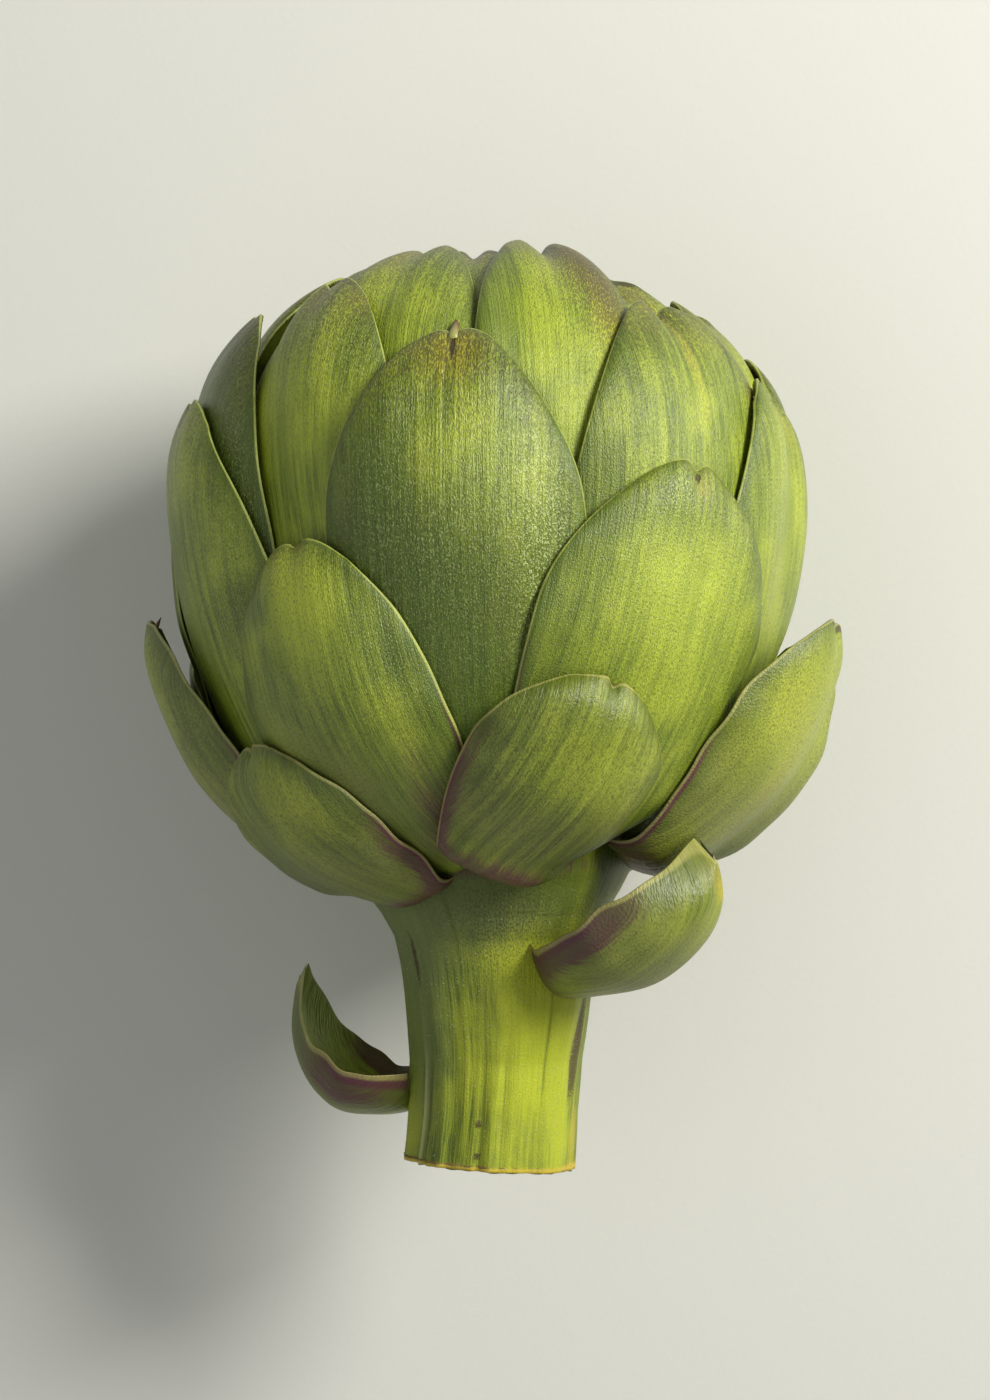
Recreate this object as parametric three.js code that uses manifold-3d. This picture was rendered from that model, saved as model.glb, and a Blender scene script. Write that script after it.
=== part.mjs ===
// A globe artichoke lying on its side, with a short cut stem. Units are millimetres and +Z is up.
// The head's axis runs along +Y, from the cut end of the stem to the closed tip.
// Every bract (scale leaf) is a thin curved solid laid over the ones inside it, from the innermost
// out, so that they overlap like tiles and none passes through another.
import * as THREE from "three";
import Module from "manifold-3d";
import { mergeVertices } from "three/addons/utils/BufferGeometryUtils.js";

const wasm = await Module();
wasm.setup();

const DEG = Math.PI / 180;

// Overall sizes
const HEAD_CENTRE_Y = 100; // from the cut end to the middle of the head, along the axis
const HEAD_MEAN_RADIUS = 57.2; // the head's outline in polar form round that middle
const HEAD_STRETCH = 3.0;
const HEAD_SQUARENESS = 1.2;
const FLOOR_BELOW_AXIS = 54; // the bracts that the head lies on are pressed flat here
const SHIFT_X = -0.4; // these two put the middle of the whole above the origin
const SHIFT_Y = -78.3;

// The stem and the receptacle that the bracts grow from, as [distance along the axis, radius]
const STEM_OUTLINE = [
  [0, 14.1],
  [9, 13.8],
  [18, 14.1],
  [27, 15.4],
  [34, 16.3],
  [39, 17.2],
  [43, 19.2],
  [47, 22],
  [50.5, 24.2],
  [54, 25],
  [58, 24.4],
  [62, 22.8],
  [66, 19.6],
  [68.4, 14],
  [69.4, 7],
];
const STEM_SIDES = 24;
const STEM_TOP_Y = 69.8;
const STEM_DRIFT = 1.5; // sideways bow of the stem's middle
const STEM_FLUTE = 0.35; // depth of the shallow lengthwise ribs
const STEM_FLUTES = 8;
const STEM_FREE = 50; // length that stands clear of the head
const CUT_SLOPE = -0.061; // the cut isn't quite square: rise along the axis for each millimetre in X

// Core of the bud
const CORE_SINK = [8.5, 16.5, 24]; // inside the outline at its tip, half way and at its foot
const CORE_RINGS = 14;
const CORE_SIDES = 24;
const CORE_FOOT_PSI = 146;
const CORE_SAMPLES = [40, 90]; // points along and round the core that the bracts are tested against

// Bract blades
const GRID_U = 6; // cells across and along a blade
const GRID_V = 8;
const SAMPLES = 4; // points along each cell at which it is tested against what lies under it
const PASSES = 24; // rounds of lifting a blade clear
const SMOOTH_PASSES = 4; // the first of them, which also even out the lift
const CLEARANCE = 0.45; // left between one bract and the next
const FEELER = 1.8; // how far round a point the bracts underneath are felt for
const EDGE_THICKNESS = 0.8;
const ROOT_THICKNESS = 2.6;
const TIP_THICKNESS = 1.2;
const ROOT_GAP = 0.3; // between a bract's foot and the receptacle
const BURIED = 1.5; // feet deeper than this in the receptacle need no room
const TAPER_POWER = 2.2; // how suddenly a bract narrows past its widest part
const FLARE_POWER = 3;
const NICK_WIDTH = 0.2; // half width of the nick at the tip, as a share of half the bract
const NICK_POWER = 16;
const CREASE_WIDTH = 0.22;
const TIP_FROM = 0.8; // shares of the length where the tip begins and the foot ends
const ROOT_TO = 0.12;
const NEIGHBOURS = 75; // degrees round a bract's middle within which others can lie under it

// What a bract is like unless its own line says otherwise. Angles are in degrees. Azimuth 0 faces
// up, +90 faces +X. Polar angles are from the tip of the head: 90 is its widest part.
const BRACT = {
  lean: 0, // turn round the axis from foot to tip
  base: 160, // polar angle of the foot
  dive: 0, // how far the foot turns in towards the receptacle
  width: 46,
  waist: 0.38, // width at the foot, as a share
  widest: 0.6, // where it is widest, as a share of its length
  sink: [0, 0, 0], // how far inside the outline it would lie at the foot, half way and at the tip
  taper: 0.6, // how much the tip narrows
  puff: 1.2, // bulge of the middle
  dip: 1.2, // how far the edges would bend inwards if nothing was under them
  flare: 0, // how far the tip stands away from the head
  hood: 1.5, // how far the very tip turns in
  notch: 1.6, // depth of the nick at the tip
  pinch: 0.8, // depth of the crease below it
};

// Rows from the innermost out
const CROWN = { base: 149, sink: [21, 14, 4.5], puff: 0.8, width: 38, notch: 2.4, pinch: 1.4, hood: 0.5 };
const UPPER = { base: 151, sink: [16.5, 10.5, 2.4], width: 44, notch: 2.2, pinch: 1.4, taper: 0.55 };
const SHOULDER = { base: 153, sink: [11.5, 7, 2.2], width: 47, notch: 1.8 };
const MIDDLE = { base: 154, sink: [6.7, 4.4, 1.4], width: 46 };
const LOWER = { base: 154, dive: 4, sink: [2.4, 1.4, 0.4], width: 39, waist: 0.5, widest: 0.55, puff: 1.6 };

const BRACTS = [
  // crown, closing the top of the head
  { name: "crown_front", ...CROWN, az: -4, lean: -6, tip: 15, flare: 2 },
  { name: "crown_back", ...CROWN, az: 178, lean: 4, tip: 13 },
  { name: "crown_left", ...CROWN, az: -86, lean: -4, tip: 16 },
  { name: "crown_right", ...CROWN, az: 80, lean: 2, tip: 21 },
  { name: "crown_front_right", ...CROWN, az: 50, lean: 0, tip: 24 },
  { name: "crown_front_left", ...CROWN, az: -46, lean: -14, tip: 19, flare: 2 },
  { name: "crown_back_right", ...CROWN, az: 132, lean: 4, tip: 21 },
  { name: "crown_back_left", ...CROWN, az: -138, lean: -6, tip: 15, flare: 2 },

  // upper
  { name: "upper_front", ...UPPER, az: -14, lean: -22, tip: 17, width: 40 },
  { name: "upper_left_back", ...UPPER, az: -108, lean: -3, tip: 26, flare: 2.5 },
  { name: "upper_back", ...UPPER, az: -152, lean: 5, tip: 29 },
  { name: "upper_back_right", ...UPPER, az: 158, lean: -4, tip: 31 },
  { name: "upper_right_back", ...UPPER, az: 112, lean: -4, tip: 33 },
  { name: "upper_right", ...UPPER, az: 76, lean: 2, tip: 34 },
  { name: "upper_front_right", ...UPPER, az: 5, lean: 30, tip: 13.5, width: 36, flare: 2.5 },
  { name: "upper_front_left", ...UPPER, az: -32, lean: -16, tip: 35, width: 48, flare: 1 },

  // shoulder
  { name: "shoulder_left", ...SHOULDER, az: -73, lean: -3, tip: 42, width: 49, flare: 4.5 },
  { name: "shoulder_right", ...SHOULDER, az: 31, lean: 19, tip: 38, width: 51, flare: 2 },
  { name: "shoulder_back_left", ...SHOULDER, az: -134, lean: 2, tip: 44 },
  { name: "shoulder_back", ...SHOULDER, az: 178, lean: 2, tip: 47 },
  { name: "shoulder_back_right", ...SHOULDER, az: 134, lean: 2, tip: 45 },
  { name: "shoulder_right_back", ...SHOULDER, az: 97, lean: 3, tip: 49, width: 44, sink: [13, 9.5, 4.5] },
  { name: "shoulder_front", ...SHOULDER, az: -5, lean: -3, tip: 46.5, width: 48, widest: 0.64, puff: 2 },

  // middle
  { name: "middle_right", ...MIDDLE, az: 68, lean: 4, tip: 55, width: 42, sink: [8.7, 7, 3] },
  { name: "middle_left", ...MIDDLE, az: -66, lean: -10, tip: 60, width: 49, flare: 4, sink: [8.7, 7, 3] },
  { name: "middle_left_back", ...MIDDLE, az: -112, lean: 2, tip: 64, width: 41, sink: [8.7, 7, 3.4] },
  { name: "middle_back_left", ...MIDDLE, az: -143, lean: -2, tip: 66, width: 42 },
  { name: "middle_back_right", ...MIDDLE, az: 144, lean: 3, tip: 68, width: 42 },
  { name: "middle_right_back", ...MIDDLE, az: 114, lean: 2, tip: 66, width: 40, sink: [8.7, 7, 3] },
  { name: "middle_back", ...MIDDLE, az: 180, lean: 0, tip: 70, flare: 4.6, hood: 2.5 },
  { name: "middle_front_right", ...MIDDLE, az: 10, lean: 30, tip: 71, width: 47, flare: 1 },
  { name: "middle_front_left", ...MIDDLE, az: -17, lean: -22, tip: 84, width: 42.5, widest: 0.45, taper: 0.5 },

  // lower, the outermost
  { name: "lower_right_back", ...LOWER, az: 104, lean: 0, tip: 99, flare: 7.5, puff: 5.5, base: 151 },
  { name: "lower_left_back", ...LOWER, az: -122, lean: 3, tip: 97, flare: 4 },
  { name: "lower_left", ...LOWER, az: -84, lean: -6, tip: 97, width: 38, flare: 7, taper: 0.8 },
  { name: "lower_right", ...LOWER, az: 60, lean: 14, tip: 97, width: 36, flare: 9, base: 151, puff: 3 },
  { name: "lower_back_right", ...LOWER, az: 150, lean: 3, tip: 100, flare: 8, hood: 3 },
  { name: "lower_back_left", ...LOWER, az: -154, lean: 0, tip: 101, flare: 8, hood: 3 },
  { name: "lower_front", ...LOWER, az: -3, lean: 26, tip: 108.5, width: 35, flare: 2, base: 148 },
  { name: "lower_front_left", ...LOWER, az: -30, lean: -28, tip: 121, width: 34, base: 161 },
  { name: "lower_back", ...LOWER, az: 176, lean: 2, tip: 116, width: 34, flare: 3.5, hood: 3 },

  // two small ones on the stem, the first just under the head
  {
    name: "stem_right",
    ...LOWER,
    az: 38,
    lean: 17,
    base: 168,
    tip: 136,
    width: 25,
    waist: 0.3,
    widest: 0.5,
    taper: 0.85,
    dive: 5,
    sink: [-11, -12, -8.5],
    dip: 5,
    notch: 0,
  },
  {
    name: "stem_left",
    ...LOWER,
    az: -100,
    lean: -6,
    base: 172,
    tip: 153.5,
    width: 17,
    waist: 0.6,
    widest: 0.4,
    taper: 0.9,
    dive: 0,
    sink: [-30.3, -30.8, -19.8],
    dip: 4,
    notch: 0,
  },
];

// Radius of the head's outline at a polar angle
function outline(psi) {
  return HEAD_MEAN_RADIUS + HEAD_STRETCH * Math.cos(2 * psi) - HEAD_SQUARENESS * Math.cos(4 * psi);
}

// Unit vector from the head's middle
function direction(az, psi) {
  return new THREE.Vector3(
    Math.sin(az) * Math.sin(psi),
    Math.cos(psi),
    Math.cos(az) * Math.sin(psi),
  );
}

// Radius of the stem and receptacle at a distance along the axis, or -1 past its ends
function stemRadius(y) {
  if (y < 0 || y > STEM_TOP_Y) return -1;
  for (let k = 1; k < STEM_OUTLINE.length; k++) {
    const [y0, r0] = STEM_OUTLINE[k - 1];
    const [y1, r1] = STEM_OUTLINE[k];
    if (y <= y1) return r0 + ((r1 - r0) * (y - y0)) / (y1 - y0);
  }
  const [lastY, lastRadius] = STEM_OUTLINE.at(-1);
  return (lastRadius * (STEM_TOP_Y - y)) / (STEM_TOP_Y - lastY);
}

// Half the width of a bract at a share v of its length
function halfWidth(b, v) {
  const half = b.width / 2;
  if (v < b.widest) return half * (b.waist + (1 - b.waist) * (1 - (1 - v / b.widest) ** 2));
  return half * (1 - b.taper * ((v - b.widest) / (1 - b.widest)) ** TAPER_POWER);
}

// How far the rounded tip drops from its middle to its corners, so that tip and sides meet smoothly
function tipDrop(b, length) {
  const narrow = 1 - b.taper;
  const slope = (2 * TAPER_POWER * b.taper) / (1 - b.widest);
  return (narrow * length) / (slope + 4 * narrow);
}

// A bract before it is laid over the others: for each corner of its grid, the direction from the
// head's middle and the radius of its inner face
function freeShape(b) {
  const foot = direction(b.az * DEG, b.base * DEG);
  const tip = direction((b.az + b.lean) * DEG, b.tip * DEG);
  const span = foot.angleTo(tip);
  const length = HEAD_MEAN_RADIUS * span;
  const drop = tipDrop(b, length);
  const axis = new THREE.Vector3().crossVectors(foot, tip).normalize();
  const corners = [];
  for (let j = 0; j <= GRID_V; j++) {
    for (let i = 0; i <= GRID_U; i++) {
      const v = j / GRID_V;
      const u = (2 * i) / GRID_U - 1;
      const nick = b.notch * Math.exp(-((u / NICK_WIDTH) ** 2)) * v ** NICK_POWER;
      const s = v - (drop * u * u * v ** 4 + nick) / length;
      const d = foot.clone().applyAxisAngle(axis, span * s);
      const turn = (u * halfWidth(b, v)) / outline(Math.acos(d.y));
      d.multiplyScalar(Math.cos(turn)).addScaledVector(axis, -Math.sin(turn));
      const psi = Math.acos(THREE.MathUtils.clamp(d.y, -1, 1));
      const nearTip = Math.max(0, (v - TIP_FROM) / (1 - TIP_FROM));
      const nearRoot = Math.max(0, 1 - v / ROOT_TO);
      const rho =
        outline(psi) -
        threeWay(b.sink, v) +
        b.puff * (1 - u * u) * Math.sin(Math.PI * v) -
        b.dip * u ** 4 +
        b.flare * v ** FLARE_POWER -
        b.hood * nearTip ** 2 -
        b.pinch * Math.exp(-((u / CREASE_WIDTH) ** 2)) * nearTip -
        b.dive * nearRoot ** 2;
      corners.push({ u, v, d, rho });
    }
  }
  return corners;
}

// Sample points over a blade's triangles: the three corners that each lies between, and their shares
const BLADE_SAMPLES = [];
for (let m = 0; m <= GRID_V * SAMPLES; m++) {
  for (let n = 0; n <= GRID_U * SAMPLES; n++) {
    const i = Math.min(GRID_U - 1, Math.floor(n / SAMPLES));
    const j = Math.min(GRID_V - 1, Math.floor(m / SAMPLES));
    const f = n / SAMPLES - i;
    const g = m / SAMPLES - j;
    const a = j * (GRID_U + 1) + i;
    const far = a + GRID_U + 2;
    const other = f > g ? a + 1 : a + GRID_U + 1;
    const shares = [1 - Math.max(f, g), Math.abs(f - g), Math.min(f, g)];
    BLADE_SAMPLES.push({ corners: [a, other, far], shares });
  }
}

function samplePoint({ corners, shares }, vectors) {
  const p = new THREE.Vector3();
  corners.forEach((c, k) => p.addScaledVector(vectors[c], shares[k]));
  return p;
}

// Outer faces laid so far, as unit vectors and radii
const laid = [];

function lay(p) {
  const rho = p.length();
  laid.push({ x: p.x / rho, y: p.y / rho, z: p.z / rho, rho });
}

// The least radius that keeps a direction clear of what is laid under it
function clearRadius(d, near) {
  let most = 0;
  for (const p of near) {
    if (p.rho <= most) continue;
    const gap = FEELER / p.rho;
    if (d.x * p.x + d.y * p.y + d.z * p.z > 1 - (gap * gap) / 2) most = p.rho;
  }
  return most ? most + CLEARANCE : 0;
}

// Averages a value at each corner with its neighbours
function smoothed(field) {
  const at = (i, j) => {
    const column = THREE.MathUtils.clamp(i, 0, GRID_U);
    return field[THREE.MathUtils.clamp(j, 0, GRID_V) * (GRID_U + 1) + column];
  };
  return field.map((value, k) => {
    const i = k % (GRID_U + 1);
    const j = Math.floor(k / (GRID_U + 1));
    return (4 * value + at(i - 1, j) + at(i + 1, j) + at(i, j - 1) + at(i, j + 1)) / 8;
  });
}

// The smooth curve that takes three values at v = 0, 0.5 and 1
function threeWay([start, half, end], v) {
  return start * (1 - v) * (1 - 2 * v) + half * 4 * v * (1 - v) + end * v * (2 * v - 1);
}

function thickness(u, v) {
  const middle = ROOT_THICKNESS + (TIP_THICKNESS - ROOT_THICKNESS) * Math.sqrt(v);
  return EDGE_THICKNESS + (middle - EDGE_THICKNESS) * (1 - Math.abs(u) ** 3);
}

function isBuried(p) {
  return Math.hypot(p.x, p.z) < stemRadius(HEAD_CENTRE_Y + p.y) - BURIED;
}

// Lays a bract over the ones inside it and returns the corners of its inner and outer faces
function layBract(b) {
  const corners = freeShape(b);
  const centre = corners[(GRID_V / 2) * (GRID_U + 1) + GRID_U / 2].d;
  const reach = Math.cos(NEIGHBOURS * DEG);
  const near = laid.filter((p) => p.x * centre.x + p.y * centre.y + p.z * centre.z > reach);
  const free = corners.map((c) => c.d.clone().multiplyScalar(c.rho));
  const tests = [];
  for (const sample of BLADE_SAMPLES) {
    const p = samplePoint(sample, free);
    const rho = p.length();
    const least = clearRadius(p.divideScalar(rho), near);
    if (least) tests.push({ ...sample, need: least - rho });
  }
  const most = corners.map(() => 0);
  for (const { corners: at, need } of tests) {
    for (const c of at) most[c] = Math.max(most[c], need);
  }
  let lift = corners.map(() => 0);
  for (let pass = 0; pass < PASSES; pass++) {
    if (pass < SMOOTH_PASSES) lift = smoothed(lift);
    for (const { corners: at, shares, need } of tests) {
      const short = need - at.reduce((sum, c, k) => sum + lift[c] * shares[k], 0);
      if (short <= 0) continue;
      const weight = shares.reduce((sum, share) => sum + share * share, 0);
      at.forEach((c, k) => {
        lift[c] = Math.max(lift[c], Math.min(most[c], lift[c] + (short * shares[k]) / weight));
      });
    }
  }
  const inner = corners.map((c, k) => c.d.clone().multiplyScalar(c.rho + lift[k]));
  const outer = inner.map((p, k) => {
    const { u, v, d } = corners[k];
    return p.clone().addScaledVector(d, thickness(u, v));
  });
  for (const sample of BLADE_SAMPLES) {
    const p = samplePoint(sample, outer);
    if (!isBuried(p)) lay(p);
  }
  return { inner, outer };
}

// One closed solid from the two faces of a bract
function bladeGeometry({ inner, outer }) {
  const row = GRID_U + 1;
  const count = outer.length;
  const position = [];
  for (const p of [...outer, ...inner]) position.push(p.x, p.y + HEAD_CENTRE_Y, p.z);
  const index = [];
  for (let j = 0; j < GRID_V; j++) {
    for (let i = 0; i < GRID_U; i++) {
      const a = j * row + i;
      const [b, c, d] = [a + 1, a + row, a + row + 1];
      index.push(a, b, d, a, d, c);
      index.push(a + count, d + count, b + count, a + count, c + count, d + count);
    }
  }
  const rim = [];
  for (let i = 0; i < GRID_U; i++) rim.push(i);
  for (let j = 0; j < GRID_V; j++) rim.push(j * row + GRID_U);
  for (let i = GRID_U; i > 0; i--) rim.push(GRID_V * row + i);
  for (let j = GRID_V; j > 0; j--) rim.push(j * row);
  rim.forEach((a, k) => {
    const b = rim[(k + 1) % rim.length];
    index.push(a, a + count, b + count, a, b + count, b);
  });
  return indexedGeometry(position, index);
}

function indexedGeometry(position, index) {
  const geometry = new THREE.BufferGeometry();
  geometry.setAttribute("position", new THREE.BufferAttribute(new Float32Array(position), 3));
  geometry.setIndex(index);
  return geometry;
}

// Fluted stem and receptacle. grow makes it larger all round, to cut clearances with.
function stemGeometry(grow = 0) {
  const rings = STEM_OUTLINE.length;
  const position = [];
  STEM_OUTLINE.forEach(([y, radius], k) => {
    const fade = Math.max(0, 1 - y / STEM_FREE);
    const drift = STEM_DRIFT * Math.sin(Math.PI * Math.min(1, y / STEM_FREE));
    for (let i = 0; i < STEM_SIDES; i++) {
      const az = (i / STEM_SIDES) * 2 * Math.PI;
      const flute = STEM_FLUTE * fade * Math.cos(STEM_FLUTES * az);
      const r = radius + flute + grow;
      const x = r * Math.sin(az) + drift;
      const along = k === 0 ? CUT_SLOPE * x - grow : y;
      position.push(x, along, r * Math.cos(az));
    }
  });
  position.push(0, -grow, 0, 0, STEM_TOP_Y + grow, 0);
  const index = [];
  const foot = rings * STEM_SIDES;
  for (let i = 0; i < STEM_SIDES; i++) {
    const next = (i + 1) % STEM_SIDES;
    index.push(foot, next, i);
    const last = (rings - 1) * STEM_SIDES;
    index.push(foot + 1, last + i, last + next);
    for (let k = 0; k < rings - 1; k++) {
      const [a, b] = [k * STEM_SIDES + i, k * STEM_SIDES + next];
      index.push(a, b, b + STEM_SIDES, a, b + STEM_SIDES, a + STEM_SIDES);
    }
  }
  return indexedGeometry(position, index);
}

function toSolid(geometry) {
  const merged = mergeVertices(geometry.clone(), 1e-4);
  return new wasm.Manifold(
    new wasm.Mesh({
      numProp: 3,
      vertProperties: merged.attributes.position.array,
      triVerts: new Uint32Array(merged.index.array),
    }),
  );
}

function toGeometry(solid) {
  const mesh = solid.getMesh();
  const geometry = new THREE.BufferGeometry();
  geometry.setAttribute("position", new THREE.BufferAttribute(mesh.vertProperties, 3));
  geometry.setIndex(new THREE.BufferAttribute(mesh.triVerts, 1));
  geometry.computeVertexNormals();
  return geometry;
}

// The largest body of a solid, so that a scrap left by a cut is dropped
function largest(solid) {
  return solid.decompose().sort((a, b) => b.volume() - a.volume())[0];
}

// Radius of the bud's core at a share of its polar reach
function coreRadius(share) {
  return outline(share * CORE_FOOT_PSI * DEG) - threeWay(CORE_SINK, share);
}

function coreGeometry() {
  const points = [];
  for (let k = 0; k <= CORE_RINGS; k++) {
    const psi = (k / CORE_RINGS) * CORE_FOOT_PSI * DEG;
    const r = coreRadius(k / CORE_RINGS);
    points.push(new THREE.Vector2(Math.max(0, r * Math.sin(psi)), HEAD_CENTRE_Y + r * Math.cos(psi)));
  }
  const last = points[points.length - 1];
  points.push(new THREE.Vector2(0, last.y));
  points[0].x = 0;
  points.reverse();
  return new THREE.LatheGeometry(points, CORE_SIDES);
}

const stemMaterial = new THREE.MeshStandardMaterial({ color: 0x7f9430, roughness: 0.65 });
const budMaterial = new THREE.MeshStandardMaterial({ color: 0x93a850, roughness: 0.6 });
const bractMaterial = new THREE.MeshStandardMaterial({ color: 0x6f8a36, roughness: 0.5 });

const artichoke = new THREE.Group();
artichoke.position.set(SHIFT_X, SHIFT_Y, FLOOR_BELOW_AXIS);

function addPiece(name, geometry, material) {
  const mesh = new THREE.Mesh(geometry, material);
  mesh.name = name;
  artichoke.add(mesh);
}

addPiece("stem", toGeometry(toSolid(stemGeometry())), stemMaterial);
const receptacleRoom = toSolid(stemGeometry(ROOT_GAP));

const core = coreGeometry();
core.deleteAttribute("normal");
core.deleteAttribute("uv");
addPiece("inner_bud", toGeometry(toSolid(core).subtract(receptacleRoom)), budMaterial);
const [coreRows, coreColumns] = CORE_SAMPLES;
for (let k = 0; k <= coreRows; k++) {
  for (let i = 0; i < coreColumns; i++) {
    const d = direction((i / coreColumns) * 2 * Math.PI, (k / coreRows) * CORE_FOOT_PSI * DEG);
    lay(d.multiplyScalar(coreRadius(k / coreRows)));
  }
}

for (const b of BRACTS) {
  const full = { ...BRACT, ...b };
  const blade = toSolid(bladeGeometry(layBract(full)));
  const cut = largest(blade.subtract(receptacleRoom)).trimByPlane([0, 0, 1], -FLOOR_BELOW_AXIS);
  addPiece("bract_" + b.name, toGeometry(cut), bractMaterial);
}

export default artichoke;
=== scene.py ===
"""A globe artichoke lying on its side with a short cut stem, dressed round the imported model.

Lengths in this file are millimetres in the head's own place, as in the part's source: the axis
runs along +Y from the cut end of the stem to the closed tip, and +Z is up. Meshes are written in
metres. Polar angles are measured from the tip of the head, and azimuth 0 faces up, +90 faces +X.
"""

import logging
import math
from dataclasses import dataclass, field, replace
from enum import Enum
from typing import Optional, Union

import bpy
import numpy as np
from mathutils import Matrix, Vector


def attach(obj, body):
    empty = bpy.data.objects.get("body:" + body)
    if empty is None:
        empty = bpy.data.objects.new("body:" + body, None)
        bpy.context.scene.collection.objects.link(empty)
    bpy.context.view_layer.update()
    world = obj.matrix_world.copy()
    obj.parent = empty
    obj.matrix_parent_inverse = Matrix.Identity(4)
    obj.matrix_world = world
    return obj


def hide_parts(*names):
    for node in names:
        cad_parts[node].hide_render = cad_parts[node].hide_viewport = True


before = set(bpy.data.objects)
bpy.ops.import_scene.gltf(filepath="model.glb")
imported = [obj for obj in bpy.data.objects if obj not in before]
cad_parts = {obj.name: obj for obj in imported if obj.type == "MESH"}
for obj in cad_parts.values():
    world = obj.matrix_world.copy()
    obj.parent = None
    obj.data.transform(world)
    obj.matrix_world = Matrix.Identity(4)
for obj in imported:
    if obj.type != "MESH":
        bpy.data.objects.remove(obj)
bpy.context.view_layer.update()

log = logging.getLogger("artichoke")

MM = 0.001
Colour = tuple[float, float, float, float]
Triple = tuple[float, float, float]
Face = tuple[int, ...]
Setting = Union[int, float, bpy.types.Material]


def paint(red: int, green: int, blue: int) -> Colour:
    """A paint chip read off, as the linear colour that a shader takes.

    Args:
        red, green, blue: screen values, 0 to 255.

    Returns:
        The linear colour with full opacity.
    """
    def linear(value: int) -> float:
        """One value, without the screen's curve."""
        share = value / 255
        return share / 12.92 if share <= 0.04045 else ((share + 0.055) / 1.055) ** 2.4

    return linear(red), linear(green), linear(blue), 1.0


def linked(name: str, data: bpy.types.ID) -> bpy.types.Object:
    """A new object in the scene, at the origin."""
    made = bpy.data.objects.new(name, data)
    bpy.context.scene.collection.objects.link(made)
    return made


# --- Node trees as expressions ---


@dataclass(frozen=True)
class Wire:
    """An output socket, with the arithmetic that node expressions use."""

    tree: "Tree"
    socket: bpy.types.NodeSocket

    def __add__(self, other: "Value") -> "Wire":
        """Sum."""
        return self.tree.math("ADD", self, other)

    def __sub__(self, other: "Value") -> "Wire":
        """Difference."""
        return self.tree.math("SUBTRACT", self, other)

    def __rsub__(self, other: "Value") -> "Wire":
        """Difference, the number first."""
        return self.tree.math("SUBTRACT", other, self)

    def __mul__(self, other: "Value") -> "Wire":
        """Product."""
        return self.tree.math("MULTIPLY", self, other)

    def __truediv__(self, other: "Value") -> "Wire":
        """Quotient."""
        return self.tree.math("DIVIDE", self, other)

    def above(self, low: float, high: float) -> "Wire":
        """A smooth step up.

        Args:
            low: where the step leaves 0.
            high: where it reaches 1.

        Returns:
            The step, 0 to 1.
        """
        return self.tree.node("ShaderNodeMapRange", {"interpolation_type": "SMOOTHSTEP"},
                              {"Value": self, "From Min": low, "From Max": high})

    def below(self, low: float, high: float) -> "Wire":
        """A smooth step down, 1 under `low` and 0 over `high`."""
        return 1.0 - self.above(low, high)

    def other(self, name: str) -> "Wire":
        """Another output of the same node."""
        return Wire(self.tree, self.socket.node.outputs[name])


Value = Union[Wire, float]


class Tree:
    """A node tree that is written as expressions."""

    def __init__(self, tree: bpy.types.NodeTree) -> None:
        """Keeps the tree that the nodes go into."""
        self.tree = tree

    def node(self, kind: str, settings: Optional[dict] = None, sockets: Optional[dict] = None,
             output: int = 0) -> Wire:
        """Adds any node.

        Args:
            kind: Blender's name for the node's type.
            settings: the node's properties, set first.
            sockets: values or wires by socket name or number.
            output: which output to hand back.

        Returns:
            The chosen output.
        """
        node = self.tree.nodes.new(kind)
        for key, value in (settings or {}).items():
            setattr(node, key, value)
        for key, value in (sockets or {}).items():
            if isinstance(value, Wire):
                self.tree.links.new(value.socket, node.inputs[key])
            else:
                node.inputs[key].default_value = value
        return Wire(self, node.outputs[output])

    def math(self, operation: str, a: Value, b: Value = 0.0) -> Wire:
        """One Math node."""
        return self.node("ShaderNodeMath", {"operation": operation}, {0: a, 1: b})

    def vector(self, x: Value, y: Value, z: Value) -> Wire:
        """Three values as one vector."""
        return self.node("ShaderNodeCombineXYZ", None, {0: x, 1: y, 2: z})


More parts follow.
